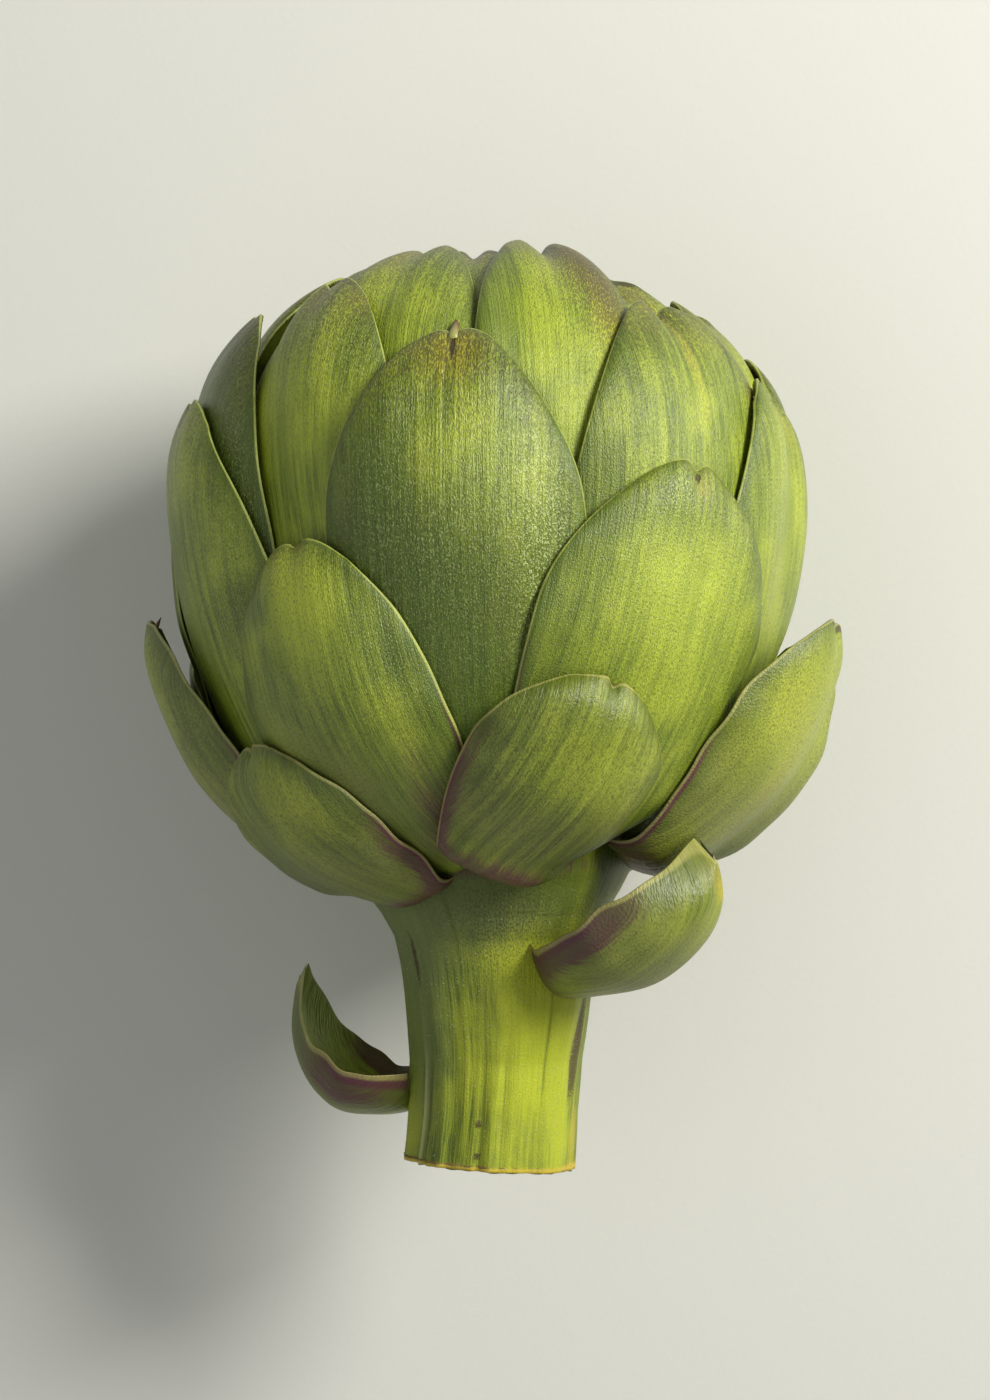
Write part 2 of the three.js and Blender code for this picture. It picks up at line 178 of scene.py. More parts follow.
class Graph(Tree):
    """One material and its shader tree, with the coats of colour that are laid over each other."""

    def __init__(self, name: str, coat: Colour) -> None:
        """Starts an empty tree.

        Args:
            name: the material's name.
            coat: the undermost colour.
        """
        self.material = bpy.data.materials.new(name)
        self.material.use_nodes = True
        super().__init__(self.material.node_tree)
        self.tree.nodes.clear()
        self.coat: Union[Wire, Colour] = coat

    def attribute(self, name: str) -> Wire:
        """A number written on the mesh's points."""
        return self.node("ShaderNodeAttribute", {"attribute_name": name}).other("Fac")

    def object_place(self) -> Wire:
        """The point in the object's own coordinates, in metres."""
        return self.node("ShaderNodeTexCoord").other("Object")

    def noise(self, vector: Wire, detail: float, scale: float = 1.0) -> Wire:
        """Cloudy noise, about 0.2 to 0.8.

        Args:
            vector: where it is read.
            detail: how many finer layers it has.
            scale: how many cells fit in one unit.

        Returns:
            The noise.
        """
        return self.node("ShaderNodeTexNoise", None,
                         {"Vector": vector, "Detail": detail, "Scale": scale})

    def lay(self, share: Value, colour: Colour) -> None:
        """Lays a colour over the coats so far, `share` of it showing."""
        self.coat = self.node("ShaderNodeMix", {"data_type": "RGBA"},
                              {0: share, 6: self.coat, 7: colour}, output=2)

    def relief(self, height: Wire, depth_mm: float, strength: float) -> Wire:
        """A bump.

        Args:
            height: 0 to 1.
            depth_mm: how deep it is from 0 to 1.
            strength: share of the relief that is used.

        Returns:
            The normal.
        """
        return self.node("ShaderNodeBump", None,
                         {"Strength": strength, "Distance": depth_mm * MM, "Height": height})

    def finish(self, **sockets: Value) -> bpy.types.Material:
        """Closes the tree with one shader under its coats.

        Args:
            sockets: the shader's other sockets, with _ for the spaces in their names.

        Returns:
            The material.
        """
        named = {key.replace("_", " "): value for key, value in sockets.items()}
        shader = self.node("ShaderNodeBsdfPrincipled", None, {"Base Color": self.coat} | named)
        end = self.tree.nodes.new("ShaderNodeOutputMaterial")
        self.tree.links.new(shader.socket, end.inputs["Surface"])
        return self.material


# --- Finishes ---


@dataclass(frozen=True)
class BractSkin:
    """The skin of a scale leaf: streaked green with bloom, flecks, blotches and a pale margin, and
    painted light, painted shade and painted highlights.
    """

    name: str
    light: Colour = paint(190, 206, 56)
    green: Colour = paint(145, 166, 38)
    deep: Colour = paint(70, 93, 14)
    bloom: Colour = paint(134, 140, 74)
    # The colour of the painted highlights.
    silver: Colour = paint(208, 220, 140)
    purple: Colour = paint(92, 36, 56)
    brown: Colour = paint(62, 46, 14)
    tan: Colour = paint(146, 124, 44)
    gold: Colour = paint(208, 184, 50)
    margin: Colour = paint(198, 204, 104)
    inner: Colour = paint(146, 164, 46)
    roughness: float = 0.28

    # Fibres, strands, mottle and grain: cells a millimetre across and along, and detail.
    GRAINS = ((5.0, 0.16, 3.0), (0.9, 0.028, 2.0), (0.12, 0.06, 3.0), (4.2, 2.4, 2.0))
    TONE_SHIFT = 83.0

    def material(self) -> bpy.types.Material:
        """Builds the shader tree.

        Returns:
            The material.
        """
        g = Graph(self.name, self.deep)
        read = g.attribute
        across, along, edge = read("across"), read("along"), read("edge")
        shift = read("tone") * self.TONE_SHIFT
        fibre, strand, mottle, grain = (
            g.noise(g.vector(across * wide + shift, along * tall, shift), detail)
            for wide, tall, detail in self.GRAINS
        )
        dash = g.noise(g.vector(across * 5.6 - shift, along * 1.5, shift), 1.5)
        g.lay(fibre.above(0.3, 0.7) * 0.75 + 0.1, self.green)
        g.lay(strand.above(0.4, 0.75) * 0.42, self.light)
        g.lay(mottle.above(0.42, 0.72) * 0.6, self.light)
        g.lay(strand.below(0.25, 0.48) * 0.42, self.deep)
        outer = (read("middle") * 0.8 + mottle * 0.5).below(0.28, 0.72)
        g.lay(outer * 0.55, self.deep)
        # Painted light: lighter where the marks say the leaf is lit.
        g.lay((read("lit") * (mottle * 1.4 + 0.3)).above(0.1, 0.9) * 0.9, self.light)
        # Painted shade: darker where the marks say the leaf lies in shade.
        g.lay((read("dark") * (strand + 0.55)).above(0.15, 1.0) * 0.85, self.deep)
        dusty = (read("bloom") * 1.2 + fibre * 0.7 + mottle * 0.6 - 0.75).above(0.1, 1.0)
        g.lay(dusty * 0.8, self.bloom)
        # Painted highlight: pale grains where the leaf catches the key light.
        g.lay(read("silver") * grain.above(0.5, 0.7) * 0.6, self.silver)
        flushed = (read("gold") + mottle * 0.7 + strand * 0.7 - 0.75).above(0.1, 0.9)
        g.lay(flushed * 0.5, self.gold)
        freckled = read("flecks")
        tanned = (freckled * 0.9 + mottle * 0.9 + fibre * 0.4 - 0.85).above(0.1, 0.9)
        g.lay(tanned * 0.4, self.tan)
        g.lay(read("inside") * 0.75, self.inner)
        blotch = (read("purple") * 1.1 + fibre * 1.5 + mottle * 0.9 - 1.3).above(0.2, 0.85)
        g.lay(blotch * 0.85, self.purple)
        spotted = (dash + freckled * 0.25 + mottle * 0.16 - 0.06).above(0.57, 0.68)
        g.lay(spotted * (freckled * 0.6 + 0.32), self.brown)
        scorched = (read("brown") + strand * 0.5 + grain * 0.4 - 0.5).above(0.2, 0.55)
        g.lay(scorched * 0.92, self.brown)
        g.lay(edge.below(0.4, 2.6) * 0.4, self.deep)
        red_edge = edge.below(0.5, 1.0) * (read("share") + strand * 0.3).below(0.5, 0.72)
        g.lay(red_edge * 0.8, self.purple)
        g.lay(edge.below(0.12, 0.32) * (strand * 0.7 + 0.3), self.margin)
        g.lay(read("spine"), self.purple)
        # The painted highlights' marks also make the skin a little glossier.
        shine = grain * 0.22 + self.roughness + dusty * 0.18 - read("silver") * 0.06
        height = fibre * 0.45 + strand * 1.1 + grain * 0.7 - scorched * 1.5
        return g.finish(Roughness=shine, Normal=g.relief(height, 0.3, 0.85), Specular_IOR_Level=0.6)


@dataclass(frozen=True)
class StemSkin:
    """The skin of the stem: ribbed yellow-green with a grey bloom, specks and brown scars, and
    painted light and painted shade.
    """

    name: str = "stem_skin"
    light: Colour = paint(192, 202, 40)
    green: Colour = paint(150, 166, 30)
    deep: Colour = paint(76, 94, 22)
    bloom: Colour = paint(108, 122, 72)
    purple: Colour = paint(88, 32, 50)
    brown: Colour = paint(70, 48, 24)
    gold: Colour = paint(214, 184, 60)
    cream: Colour = paint(222, 218, 158)

    # Fibres, strands, mottle, grain and dashes: cells a millimetre round and along, the place
    # in depth, and detail.
    GRAINS = ((3.6, 0.16, 3.0, 3.0), (0.7, 0.03, 7.0, 2.0), (0.12, 0.1, 1.0, 3.0),
              (3.4, 2.6, 5.0, 2.0), (4.6, 1.9, 9.0, 1.5))

    def material(self) -> bpy.types.Material:
        """Builds the shader tree.

        Returns:
            The material.
        """
        g = Graph(self.name, self.deep)
        read = g.attribute
        around, along = read("across"), read("along")
        fibre, strand, mottle, grain, dash = (
            g.noise(g.vector(around * wide, along * tall, depth), detail)
            for wide, tall, depth, detail in self.GRAINS
        )
        g.lay(fibre.above(0.3, 0.7) * 0.8, self.green)
        g.lay(strand.above(0.45, 0.7) * 0.45, self.light)
        g.lay(mottle.above(0.4, 0.7) * 0.4, self.light)
        # Painted light: lighter where the marks say the stem is lit.
        g.lay((read("lit") * (mottle + 0.5)).above(0.2, 1.0) * 0.75, self.light)
        dusty = (read("bloom") * 1.1 + fibre * 0.6 + grain * 0.4 - 0.6).above(0.1, 0.9)
        g.lay(dusty * 0.85, self.bloom)
        # Painted shade: darker where the marks say the stem lies in shade.
        g.lay((read("dark") + fibre * 0.6 - 0.35).above(0.15, 0.8) * 0.75, self.deep)
        flushed = (read("purple") + fibre * 0.9 + mottle * 0.5 - 0.8).above(0.2, 0.75)
        g.lay(flushed * 0.9, self.purple)
        g.lay((read("gold") + strand * 0.5 - 0.25).above(0.2, 0.9) * 0.8, self.gold)
        spotted = (dash + read("flecks") * 0.2 + mottle * 0.1 - 0.06).above(0.58, 0.68)
        g.lay(spotted * (read("flecks") * 0.6 + 0.15), self.brown)
        scabbed = (read("brown") + strand * 0.5 + grain * 0.6 - 0.55).above(0.22, 0.6)
        g.lay(scabbed * 0.85, self.brown)
        g.lay(read("pale") * (fibre * 0.6 + 0.3), self.cream)
        height = fibre * 0.5 + strand * 1.1 + grain * 0.5 + scabbed * 0.6
        return g.finish(Roughness=grain * 0.2 + 0.42 + dusty * 0.12,
                        Normal=g.relief(height, 0.35, 0.7), Specular_IOR_Level=0.5)


@dataclass(frozen=True)
class CutFlesh:
    """The cut end of the stem: pale spongy pith inside a greener rind that has dried brown."""

    name: str = "cut_flesh"
    pith: Colour = paint(206, 210, 150)
    rind: Colour = paint(146, 158, 70)
    dried: Colour = paint(120, 84, 44)

    def material(self) -> bpy.types.Material:
        """Builds the shader tree.

        Returns:
            The material.
        """
        g = Graph(self.name, self.pith)
        out = g.attribute("share")
        place = g.object_place()
        sponge = g.noise(place, detail=4.0, scale=900.0)
        cloud = g.noise(place, detail=3.0, scale=220.0)
        g.lay((out + cloud * 0.2).above(0.72, 0.98), self.rind)
        g.lay((out + cloud * 0.3 - 0.15).above(0.86, 1.02) * 0.8, self.dried)
        g.lay(cloud.above(0.56, 0.74) * 0.5, self.dried)
        return g.finish(Roughness=sponge * 0.2 + 0.6, Normal=g.relief(sponge + cloud, 0.5, 0.8))


@dataclass(frozen=True)
class Fluff:
    """Hairs, or the bud's smooth core: one colour, a little uneven from place to place."""

    name: str
    colour: Colour
    other: Colour
    roughness: float = 0.6

    def material(self) -> bpy.types.Material:
        """Builds the shader tree.

        Returns:
            The material.
        """
        g = Graph(self.name, self.colour)
        cloud = g.noise(g.object_place(), detail=2.0, scale=700.0)
        g.lay(cloud.above(0.35, 0.65), self.other)
        return g.finish(Roughness=cloud * 0.1 + self.roughness)


@dataclass(frozen=True)
class FloorPaper:
    """The plain pale sheet that the artichoke lies on."""

    name: str = "floor_paper"
    colour: Colour = paint(226, 226, 218)
    shade: Colour = paint(206, 206, 198)

    def material(self) -> bpy.types.Material:
        """Builds the shader tree.

        Returns:
            The material.
        """
        g = Graph(self.name, self.colour)
        tooth = g.noise(g.object_place(), detail=3.0, scale=900.0)
        g.lay(tooth * 0.12, self.shade)
        return g.finish(Roughness=0.85, Normal=g.relief(tooth, 0.08, 0.3))


# --- Shapes ---


class Row(Enum):
    """Rows of bracts from the innermost out: the record's slot for each, and the share of a
    bract's length from which it shows past the row outside it."""

    CROWN = ("upper_bract", 0.6)
    UPPER = ("upper_bract", 0.54)
    SHOULDER = ("head_bract", 0.46)
    MIDDLE = ("head_bract", 0.36)
    LOWER = ("lower_bract", 0.28)
    STEM = ("stem_bract", 0.2)

    @property
    def slot(self) -> str:
        """The slot's name in the record."""
        return self.value[0]

    @property
    def shown_from(self) -> float:
        """The share of a bract's length from which it shows."""
        return self.value[1]


class Tint(Enum):
    """What a mark puts on the skin: its own colours, and painted light, painted shade and painted
    highlights; the value is the mesh attribute that carries it.
    """

    # Painted light: a lighter patch laid where the skin is lit, not a colour of its own.
    LIT = "lit"
    # Painted shade: a darker patch laid where the skin lies in shade.
    DARK = "dark"
    BLOOM = "bloom"
    # Gloss and a painted highlight: a glossier patch painted with pale highlight grains.
    SILVER = "silver"
    GOLD = "gold"
    PURPLE = "purple"
    BROWN = "brown"
    FLECKS = "flecks"
    PALE = "pale"

    def __call__(self, u: float, v: float, wide: float, tall: float, amount: float) -> "Mark":
        """A mark of this tint."""
        return Mark(self, u, v, wide, tall, amount)


@dataclass(frozen=True)
class Mark:
    """A soft-edged patch of a tint. Places are shares across (-1 to 1) and along (0 to 1) a bract,
    or degrees of azimuth and millimetres from the cut on the stem."""

    tint: Tint
    u: float
    v: float
    wide: float
    tall: float
    amount: float

    def over(self, u: np.ndarray, v: np.ndarray) -> np.ndarray:
        """How strong the mark is at each place."""
        return self.amount * np.exp(-(((u - self.u) / self.wide) ** 2)
                                    - ((v - self.v) / self.tall) ** 2)


def tinted(marks: tuple[Mark, ...], u: np.ndarray, v: np.ndarray) -> dict[str, np.ndarray]:
    """Strength of each tint at each point.

    Args:
        marks: the marks that add up to it.
        u, v: the points' places, as the marks take them.

    Returns:
        The strengths by the tints' names.
    """
    found = {tint.value: np.zeros_like(u) for tint in Tint}
    for mark in marks:
        found[mark.tint.value] += mark.over(u, v)
    return found


@dataclass(frozen=True)
class HeadForm:
    """The head's outline, its place, and the stem that its bracts grow from."""

    centre_y: float = 100.0
    mean_radius: float = 57.2
    stretch: float = 3.0
    squareness: float = 1.2
    floor_below_axis: float = 54.0
    shift_x: float = -0.4
    shift_y: float = -78.3
    core_sink: tuple[float, float, float] = (8.5, 16.5, 24.0)
    core_foot: float = 146.0
    stem_profile: tuple[tuple[float, float], ...] = (
        (0, 14.1), (9, 13.8), (18, 14.1), (27, 15.4), (34, 16.3), (39, 17.2), (43, 19.2),
        (47, 22), (50.5, 24.2), (54, 25), (58, 24.4), (62, 22.8), (66, 19.6), (68.4, 14),
        (69.4, 7), (69.8, 0),
    )

    def outline(self, psi: np.ndarray) -> np.ndarray:
        """Radius of the outline at a polar angle in radians."""
        return self.mean_radius + self.stretch * np.cos(2 * psi) - self.squareness * np.cos(4 * psi)

    def stem_radius(self, y: np.ndarray) -> np.ndarray:
        """Radius of the stem and receptacle at a distance along the axis, -1 past its ends."""
        heights, radii = np.array(self.stem_profile).T
        return np.interp(y, heights, radii, left=-1.0, right=-1.0)

    def core_radius(self, share: np.ndarray) -> np.ndarray:
        """Radius of the bud's core at a share of its polar reach."""
        return self.outline(share * self.core_reach) - three_way(self.core_sink, share)

    @property
    def core_reach(self) -> float:
        """The polar angle of the core's foot in radians."""
        return math.radians(self.core_foot)

    @property
    def core_top(self) -> float:
        """How far the tip of the bud's core is from the head's middle."""
        return float(self.core_radius(np.zeros(1))[0])

    def placed(self, points: np.ndarray) -> np.ndarray:
        """Turns millimetres about the head's middle into metres on the floor.

        Args:
            points: points in millimetres, measured from the middle of the head.

        Returns:
            The same points in the frame's metres.
        """
        offset = (self.shift_x, self.shift_y + self.centre_y, self.floor_below_axis)
        return (points + np.array(offset)) * MM


HEAD = HeadForm()


def three_way(ends: tuple[float, float, float], v: np.ndarray) -> np.ndarray:
    """The smooth curve that takes three values at v = 0, 0.5 and 1."""
    start, half, end = ends
    return start * (1 - v) * (1 - 2 * v) + half * 4 * v * (1 - v) + end * v * (2 * v - 1)


def smooth_step(value: np.ndarray, low: float, high: float) -> np.ndarray:
    """A smooth step from 0 at `low` to 1 at `high`."""
    share = np.clip((value - low) / (high - low), 0, 1)
    return share * share * (3 - 2 * share)


def heading(az: np.ndarray, psi: np.ndarray) -> np.ndarray:
    """Unit vectors from the head's middle for an azimuth and a polar angle in radians."""
    parts = np.sin(az) * np.sin(psi), np.cos(psi), np.cos(az) * np.sin(psi)
    return np.stack(np.broadcast_arrays(*parts), -1)


def spread(values: np.ndarray, reach: tuple[int, int], widest: bool) -> np.ndarray:
    """Takes the highest or the average value within reach of each cell.

    Args:
        values: a grid.
        reach: cells along each side of it.
        widest: True for the highest value, False for the average.

    Returns:
        A grid of the same size.
    """
    out = values
    for side, cells in enumerate(reach):
        pad = [(0, 0), (0, 0)]
        pad[side] = (cells, cells)
        wide = np.pad(out, pad, mode="edge")
        length = out.shape[side]
        shifted = [np.take(wide, range(k, k + length), side) for k in range(2 * cells + 1)]
        out = np.max(shifted, 0) if widest else np.mean(shifted, 0)
    return out


def finer(points: np.ndarray, times: int) -> np.ndarray:
    """Fills a grid of points in with straight steps.

    Args:
        points: rows by columns by 3.
        times: how many steps replace each one.

    Returns:
        The finer grid.
    """
    for side in (0, 1):
        count = points.shape[side]
        place = np.linspace(0, count - 1, (count - 1) * times + 1)
        low = np.minimum(place.astype(int), count - 2)
        share = (place - low).reshape((-1, 1, 1) if side == 0 else (1, -1, 1))
        points = np.take(points, low, side) * (1 - share) + np.take(points, low + 1, side) * share
    return points


class Mould:
    """The outermost surface laid so far, as a map of radii over directions seen from the tip."""

    CELLS = 640
    REACH = (2, 2)
    STEM_SKIN = 1.5

    def __init__(self) -> None:
        """Starts with nothing laid."""
        self.radii = np.zeros((self.CELLS, self.CELLS))

    def _cell(self, d: np.ndarray) -> tuple[np.ndarray, np.ndarray]:
        """Row and column of each direction."""
        psi = np.arccos(np.clip(d[..., 1], -1, 1))
        flat = np.maximum(np.hypot(d[..., 0], d[..., 2]), 1e-9)
        scale = psi / flat / (2 * math.pi)
        column = ((d[..., 0] * scale + 0.5) * self.CELLS).astype(int)
        row = ((d[..., 2] * scale + 0.5) * self.CELLS).astype(int)
        last = self.CELLS - 1
        return np.clip(row, 0, last), np.clip(column, 0, last)

    def lay(self, points: np.ndarray) -> None:
        """Adds a surface.

        Args:
            points: close-set points on it, from the head's middle.
        """
        points = points.reshape(-1, 3)
        stem = HEAD.stem_radius(HEAD.centre_y + points[:, 1]) - self.STEM_SKIN
        points = points[np.hypot(points[:, 0], points[:, 2]) >= stem]
        rho = np.linalg.norm(points, axis=1)
        np.maximum.at(self.radii, self._cell(points / rho[:, None]), rho)

    def height(self, d: np.ndarray) -> np.ndarray:
        """The highest radius laid round each direction, 0 where there is none."""
        return spread(self.radii, self.REACH, True)[self._cell(d)]


# --- Meshes ---


@dataclass
class Sheet:
    """Points, faces and per-point numbers of a mesh that is being put together."""

    points: np.ndarray
    faces: list[Face]
    numbers: dict[str, np.ndarray] = field(default_factory=dict)

    def add(self, other: "Sheet") -> None:
        """Joins another mesh on.

        Args:
            other: the mesh; numbers that it lacks are 0 on it.
        """
        start, added = len(self.points), len(other.points)
        self.points = np.vstack([self.points, other.points])
        self.faces += [tuple(start + k for k in face) for face in other.faces]
        for name in sorted(set(self.numbers) | set(other.numbers)):
            mine = self.numbers.get(name, np.zeros(start))
            theirs = other.numbers.get(name, np.zeros(added))
            self.numbers[name] = np.concatenate([mine, theirs])

    def face_outwards(self) -> None:
        """Turns every face round if the closed mesh is inside out."""
        p = self.points - self.points.mean(0)
        tris = [(f[0], f[k], f[k + 1]) for f in self.faces for k in range(1, len(f) - 1)]
        a, b, c = (p[np.array(tris)[:, k]] for k in range(3))
        if np.einsum("ij,ij->", a, np.cross(b, c)) < 0:
            self.faces = [face[::-1] for face in self.faces]

    def make(self, name: str, material: bpy.types.Material) -> bpy.types.Object:
        """Makes the Blender object.

        Args:
            name: its name.
            material: its finish.

        Returns:
            The object, at the origin, smooth shaded.
        """
        mesh = bpy.data.meshes.new(name)
        mesh.from_pydata(HEAD.placed(self.points).tolist(), [], self.faces)
        for key, values in self.numbers.items():
            written = mesh.attributes.new(key, "FLOAT", "POINT")
            written.data.foreach_set("value", values.astype(np.float32))
        mesh.materials.append(material)
        mesh.shade_smooth()
        mesh.update()
        return linked(name, mesh)


def closed_shell(outer: np.ndarray, inner: np.ndarray, rim: float) -> tuple[Sheet, np.ndarray]:
    """A blade between two grids of points, with a rounded rim all round.

    Args:
        outer, inner: grids of the same size, rows by columns by 3.
        rim: how far the rim stands out past them, in millimetres.

    Returns:
        The mesh, with the outer grid's points, then the inner grid's, then the rim's, and the
        numbers of the grid's points that the rim follows.
    """
    rows, columns = outer.shape[:2]
    count = rows * columns
    cell = np.arange(count).reshape(rows, columns)
    low, high = cell[:-1], cell[1:]
    corners = [part.ravel() for part in (low[:, :-1], low[:, 1:], high[:, 1:], high[:, :-1])]
    faces = np.stack(corners, 1)
    back = np.stack(corners[::-1], 1) + count
    ring = np.concatenate([cell[0, :-1], cell[:-1, -1], cell[-1, :0:-1], cell[:0:-1, 0]])
    step = np.concatenate([cell[1, :-1], cell[:-1, -2], cell[-2, :0:-1], cell[:0:-1, 1]])
    flat_out, flat_in = outer.reshape(-1, 3), inner.reshape(-1, 3)
    away = flat_out[ring] - flat_out[step]
    away /= np.maximum(np.linalg.norm(away, axis=1, keepdims=True), 1e-6)
    edge = (flat_out[ring] + flat_in[ring]) / 2 + away * rim
    place = 2 * count + np.arange(len(ring))
    after = np.roll(place, -1)
    ring_next = np.roll(ring, -1)
    sides = np.vstack([
        np.stack([ring, place, after, ring_next], 1),
        np.stack([place, ring + count, ring_next + count, after], 1),
    ])
    points = np.vstack([flat_out, flat_in, edge])
    return Sheet(points, [tuple(f) for f in np.vstack([faces, back, sides]).tolist()]), ring


def ring_faces(rows: int, sides: int, closed: bool = False) -> tuple[list[Face], np.ndarray]:
    """Four-sided faces between rings of points.

    Args:
        rows: how many rings there are.
        sides: points on each ring.
        closed: also joins the last ring to the first.

    Returns:
        The faces, and the points' numbers, rings by sides.
    """
    cell = np.arange(rows * sides).reshape(rows, sides)
    here = cell if closed else cell[:-1]
    there = np.roll(cell, -1, 0)[:len(here)]
    corners = np.stack([here, np.roll(here, -1, 1), np.roll(there, -1, 1), there], -1)
    return [tuple(face) for face in corners.reshape(-1, 4).tolist()], cell


# --- Bracts ---


@dataclass(frozen=True)
class Bract:
    """One scale leaf, by the same sizes as in the part's source, and the marks on its skin.

    `az` and `base` place the foot in degrees, and `lean` and `tip` the point. `width` is the
    greatest one, at the share `widest` of the length; `waist` is the share of it at the foot, and
    `taper` the share that is gone at the tip. `sink` is how far the foot, the middle and the tip
    lie inside the head's outline. `puff`, `dip`, `flare`, `hood`, `notch`, `pinch`, `wave` and
    `dive` bend the blade, and `dome` swells the part that shows. `spine` is the length of the hard
    point, and `rim` the thickness of the edge.
    """

    name: str = ""
    row: Row = Row.MIDDLE
    az: float = 0.0
    lean: float = 0.0
    base: float = 160.0
    tip: float = 60.0
    dive: float = 0.0
    width: float = 46.0
    waist: float = 0.38
    widest: float = 0.6
    sink: tuple[float, float, float] = (0.0, 0.0, 0.0)
    taper: float = 0.6
    puff: float = 1.2
    dip: float = 1.2
    flare: float = 0.0
    hood: float = 1.5
    notch: float = 1.6
    pinch: float = 0.8
    wave: float = 0.35
    spine: float = 1.8
    dome: float = 1.2
    rim: float = 0.34
    marks: tuple[Mark, ...] = ()

    TAPER_POWER = 2.2
    NICK_POWER = 20
    THINNING_POWER = 30
    COLUMNS = 36
    ROWS = 56
    EDGE_CROWDING = 0.25
    TIP_CROWDING = 0.3
    WAVES = (17, 29)
    ROOT = 2.6
    TIP = 1.15
    TIP_THINNING = 0.85
    CLEARANCE = 0.35
    ROUND_RIM = 0.12
    RIM_INSIDE = 0.2
    DEEPEST_TINT = 1.5
    LAID_FINER = 4
    LIFT_REACH = (3, 2)
    LIFT_SOFTENING = (1, 1)
    SWELL_OVER = 0.28
    SWELL_LOSS = (0.75, 0.88)
    NICK_WIDTH = 0.13
    PINCH_WIDTH = 0.22
    TIP_ZONE = (0.8, 0.2)
    ROOT_ZONE = 0.12

    def at(self, name: str, az: float, lean: float, tip: float, **sizes: object) -> "Bract":
        """A bract of the same row at its own place, with the sizes that it has for itself."""
        return replace(self, name=name, az=az, lean=lean, tip=tip, **sizes)

    def half_width(self, v: np.ndarray) -> np.ndarray:
        """Half the width at a share of the length."""
        half = self.width / 2
        opened = 1 - (1 - np.minimum(v, self.widest) / self.widest) ** 2
        low = half * (self.waist + (1 - self.waist) * opened)
        past = np.maximum(0, (v - self.widest) / (1 - self.widest))
        return np.where(v < self.widest, low, half * (1 - self.taper * past ** self.TAPER_POWER))

    def thickness(self, u: np.ndarray, v: np.ndarray) -> np.ndarray:
        """Thickness of the blade."""
        middle = self.ROOT + (self.TIP - self.ROOT) * np.sqrt(v)
        body = (middle - self.rim) * (1 - np.abs(u) ** 3)
        return self.rim + body * (1 - self.TIP_THINNING * v**self.THINNING_POWER)

    def lattice(self) -> dict[str, np.ndarray]:
        """The blade before it is laid over the others.

        Returns:
            Grids, rows by columns: u, v, the direction d, the radius rho, and the places in
            millimetres across, along and from the edge.
        """
        # Columns stand closer at the edges, and rows closer at the tip.
        t = np.linspace(-1, 1, self.COLUMNS + 1)[None, :]
        u = t * (1 + self.EDGE_CROWDING - self.EDGE_CROWDING * t * t)
        w = np.linspace(0, 1, self.ROWS + 1)[:, None]
        v = w * (1 + self.TIP_CROWDING - self.TIP_CROWDING * w)
        foot = heading(math.radians(self.az), math.radians(self.base))
        tip = heading(math.radians(self.az + self.lean), math.radians(self.tip))
        span = math.acos(float(np.clip(foot @ tip, -1, 1)))
        length = HEAD.mean_radius * span
        narrow = 1 - self.taper
        slope = 2 * self.TAPER_POWER * self.taper / (1 - self.widest)
        drop = narrow * length / (slope + 4 * narrow)
        axis = np.cross(foot, tip)
        axis /= np.linalg.norm(axis)
        nick = self.notch * np.exp(-((u / self.NICK_WIDTH) ** 2)) * v**self.NICK_POWER
        s = v - (drop * u * u * v**4 + nick) / length
        angle = (span * s)[..., None]
        d = foot * np.cos(angle) + np.cross(axis, foot) * np.sin(angle)
        half = self.half_width(v)
        turn = (u * half / HEAD.outline(np.arccos(np.clip(d[..., 1], -1, 1))))[..., None]
        d = d * np.cos(turn) - axis * np.sin(turn)
        psi = np.arccos(np.clip(d[..., 1], -1, 1))
        near_tip = np.maximum(0, (v - self.TIP_ZONE[0]) / self.TIP_ZONE[1])
        near_root = np.maximum(0, 1 - v / self.ROOT_ZONE)
        # Two waves run along the edges, unlike on the two sides and from bract to bract.
        slow, fast = self.WAVES
        seed = math.radians(self.az * 3.1 + self.tip * 7.7)
        ripple = np.sin(v * slow + seed) + 0.6 * np.sin(v * fast - 2 * seed + 2.0 * np.sign(u))
        rho = (
            HEAD.outline(psi)
            - three_way(self.sink, v)
            + self.puff * (1 - u * u) * np.sin(math.pi * v)
            - self.dip * u**4
            + self.flare * v**3
            - self.hood * near_tip**2
            - self.pinch * np.exp(-((u / self.PINCH_WIDTH) ** 2)) * near_tip
            - self.dive * near_root**2
            + self.wave * np.abs(u) ** 3 * ripple * np.minimum(1, v * 3)
        )
        ones = np.ones_like(s)
        edge = np.minimum((1 - np.abs(u)) * half, (1 - v) * length)
        return {"u": u * ones, "v": v * ones, "d": d, "rho": rho, "across": u * half * ones,
                "along": s * length, "edge": edge}

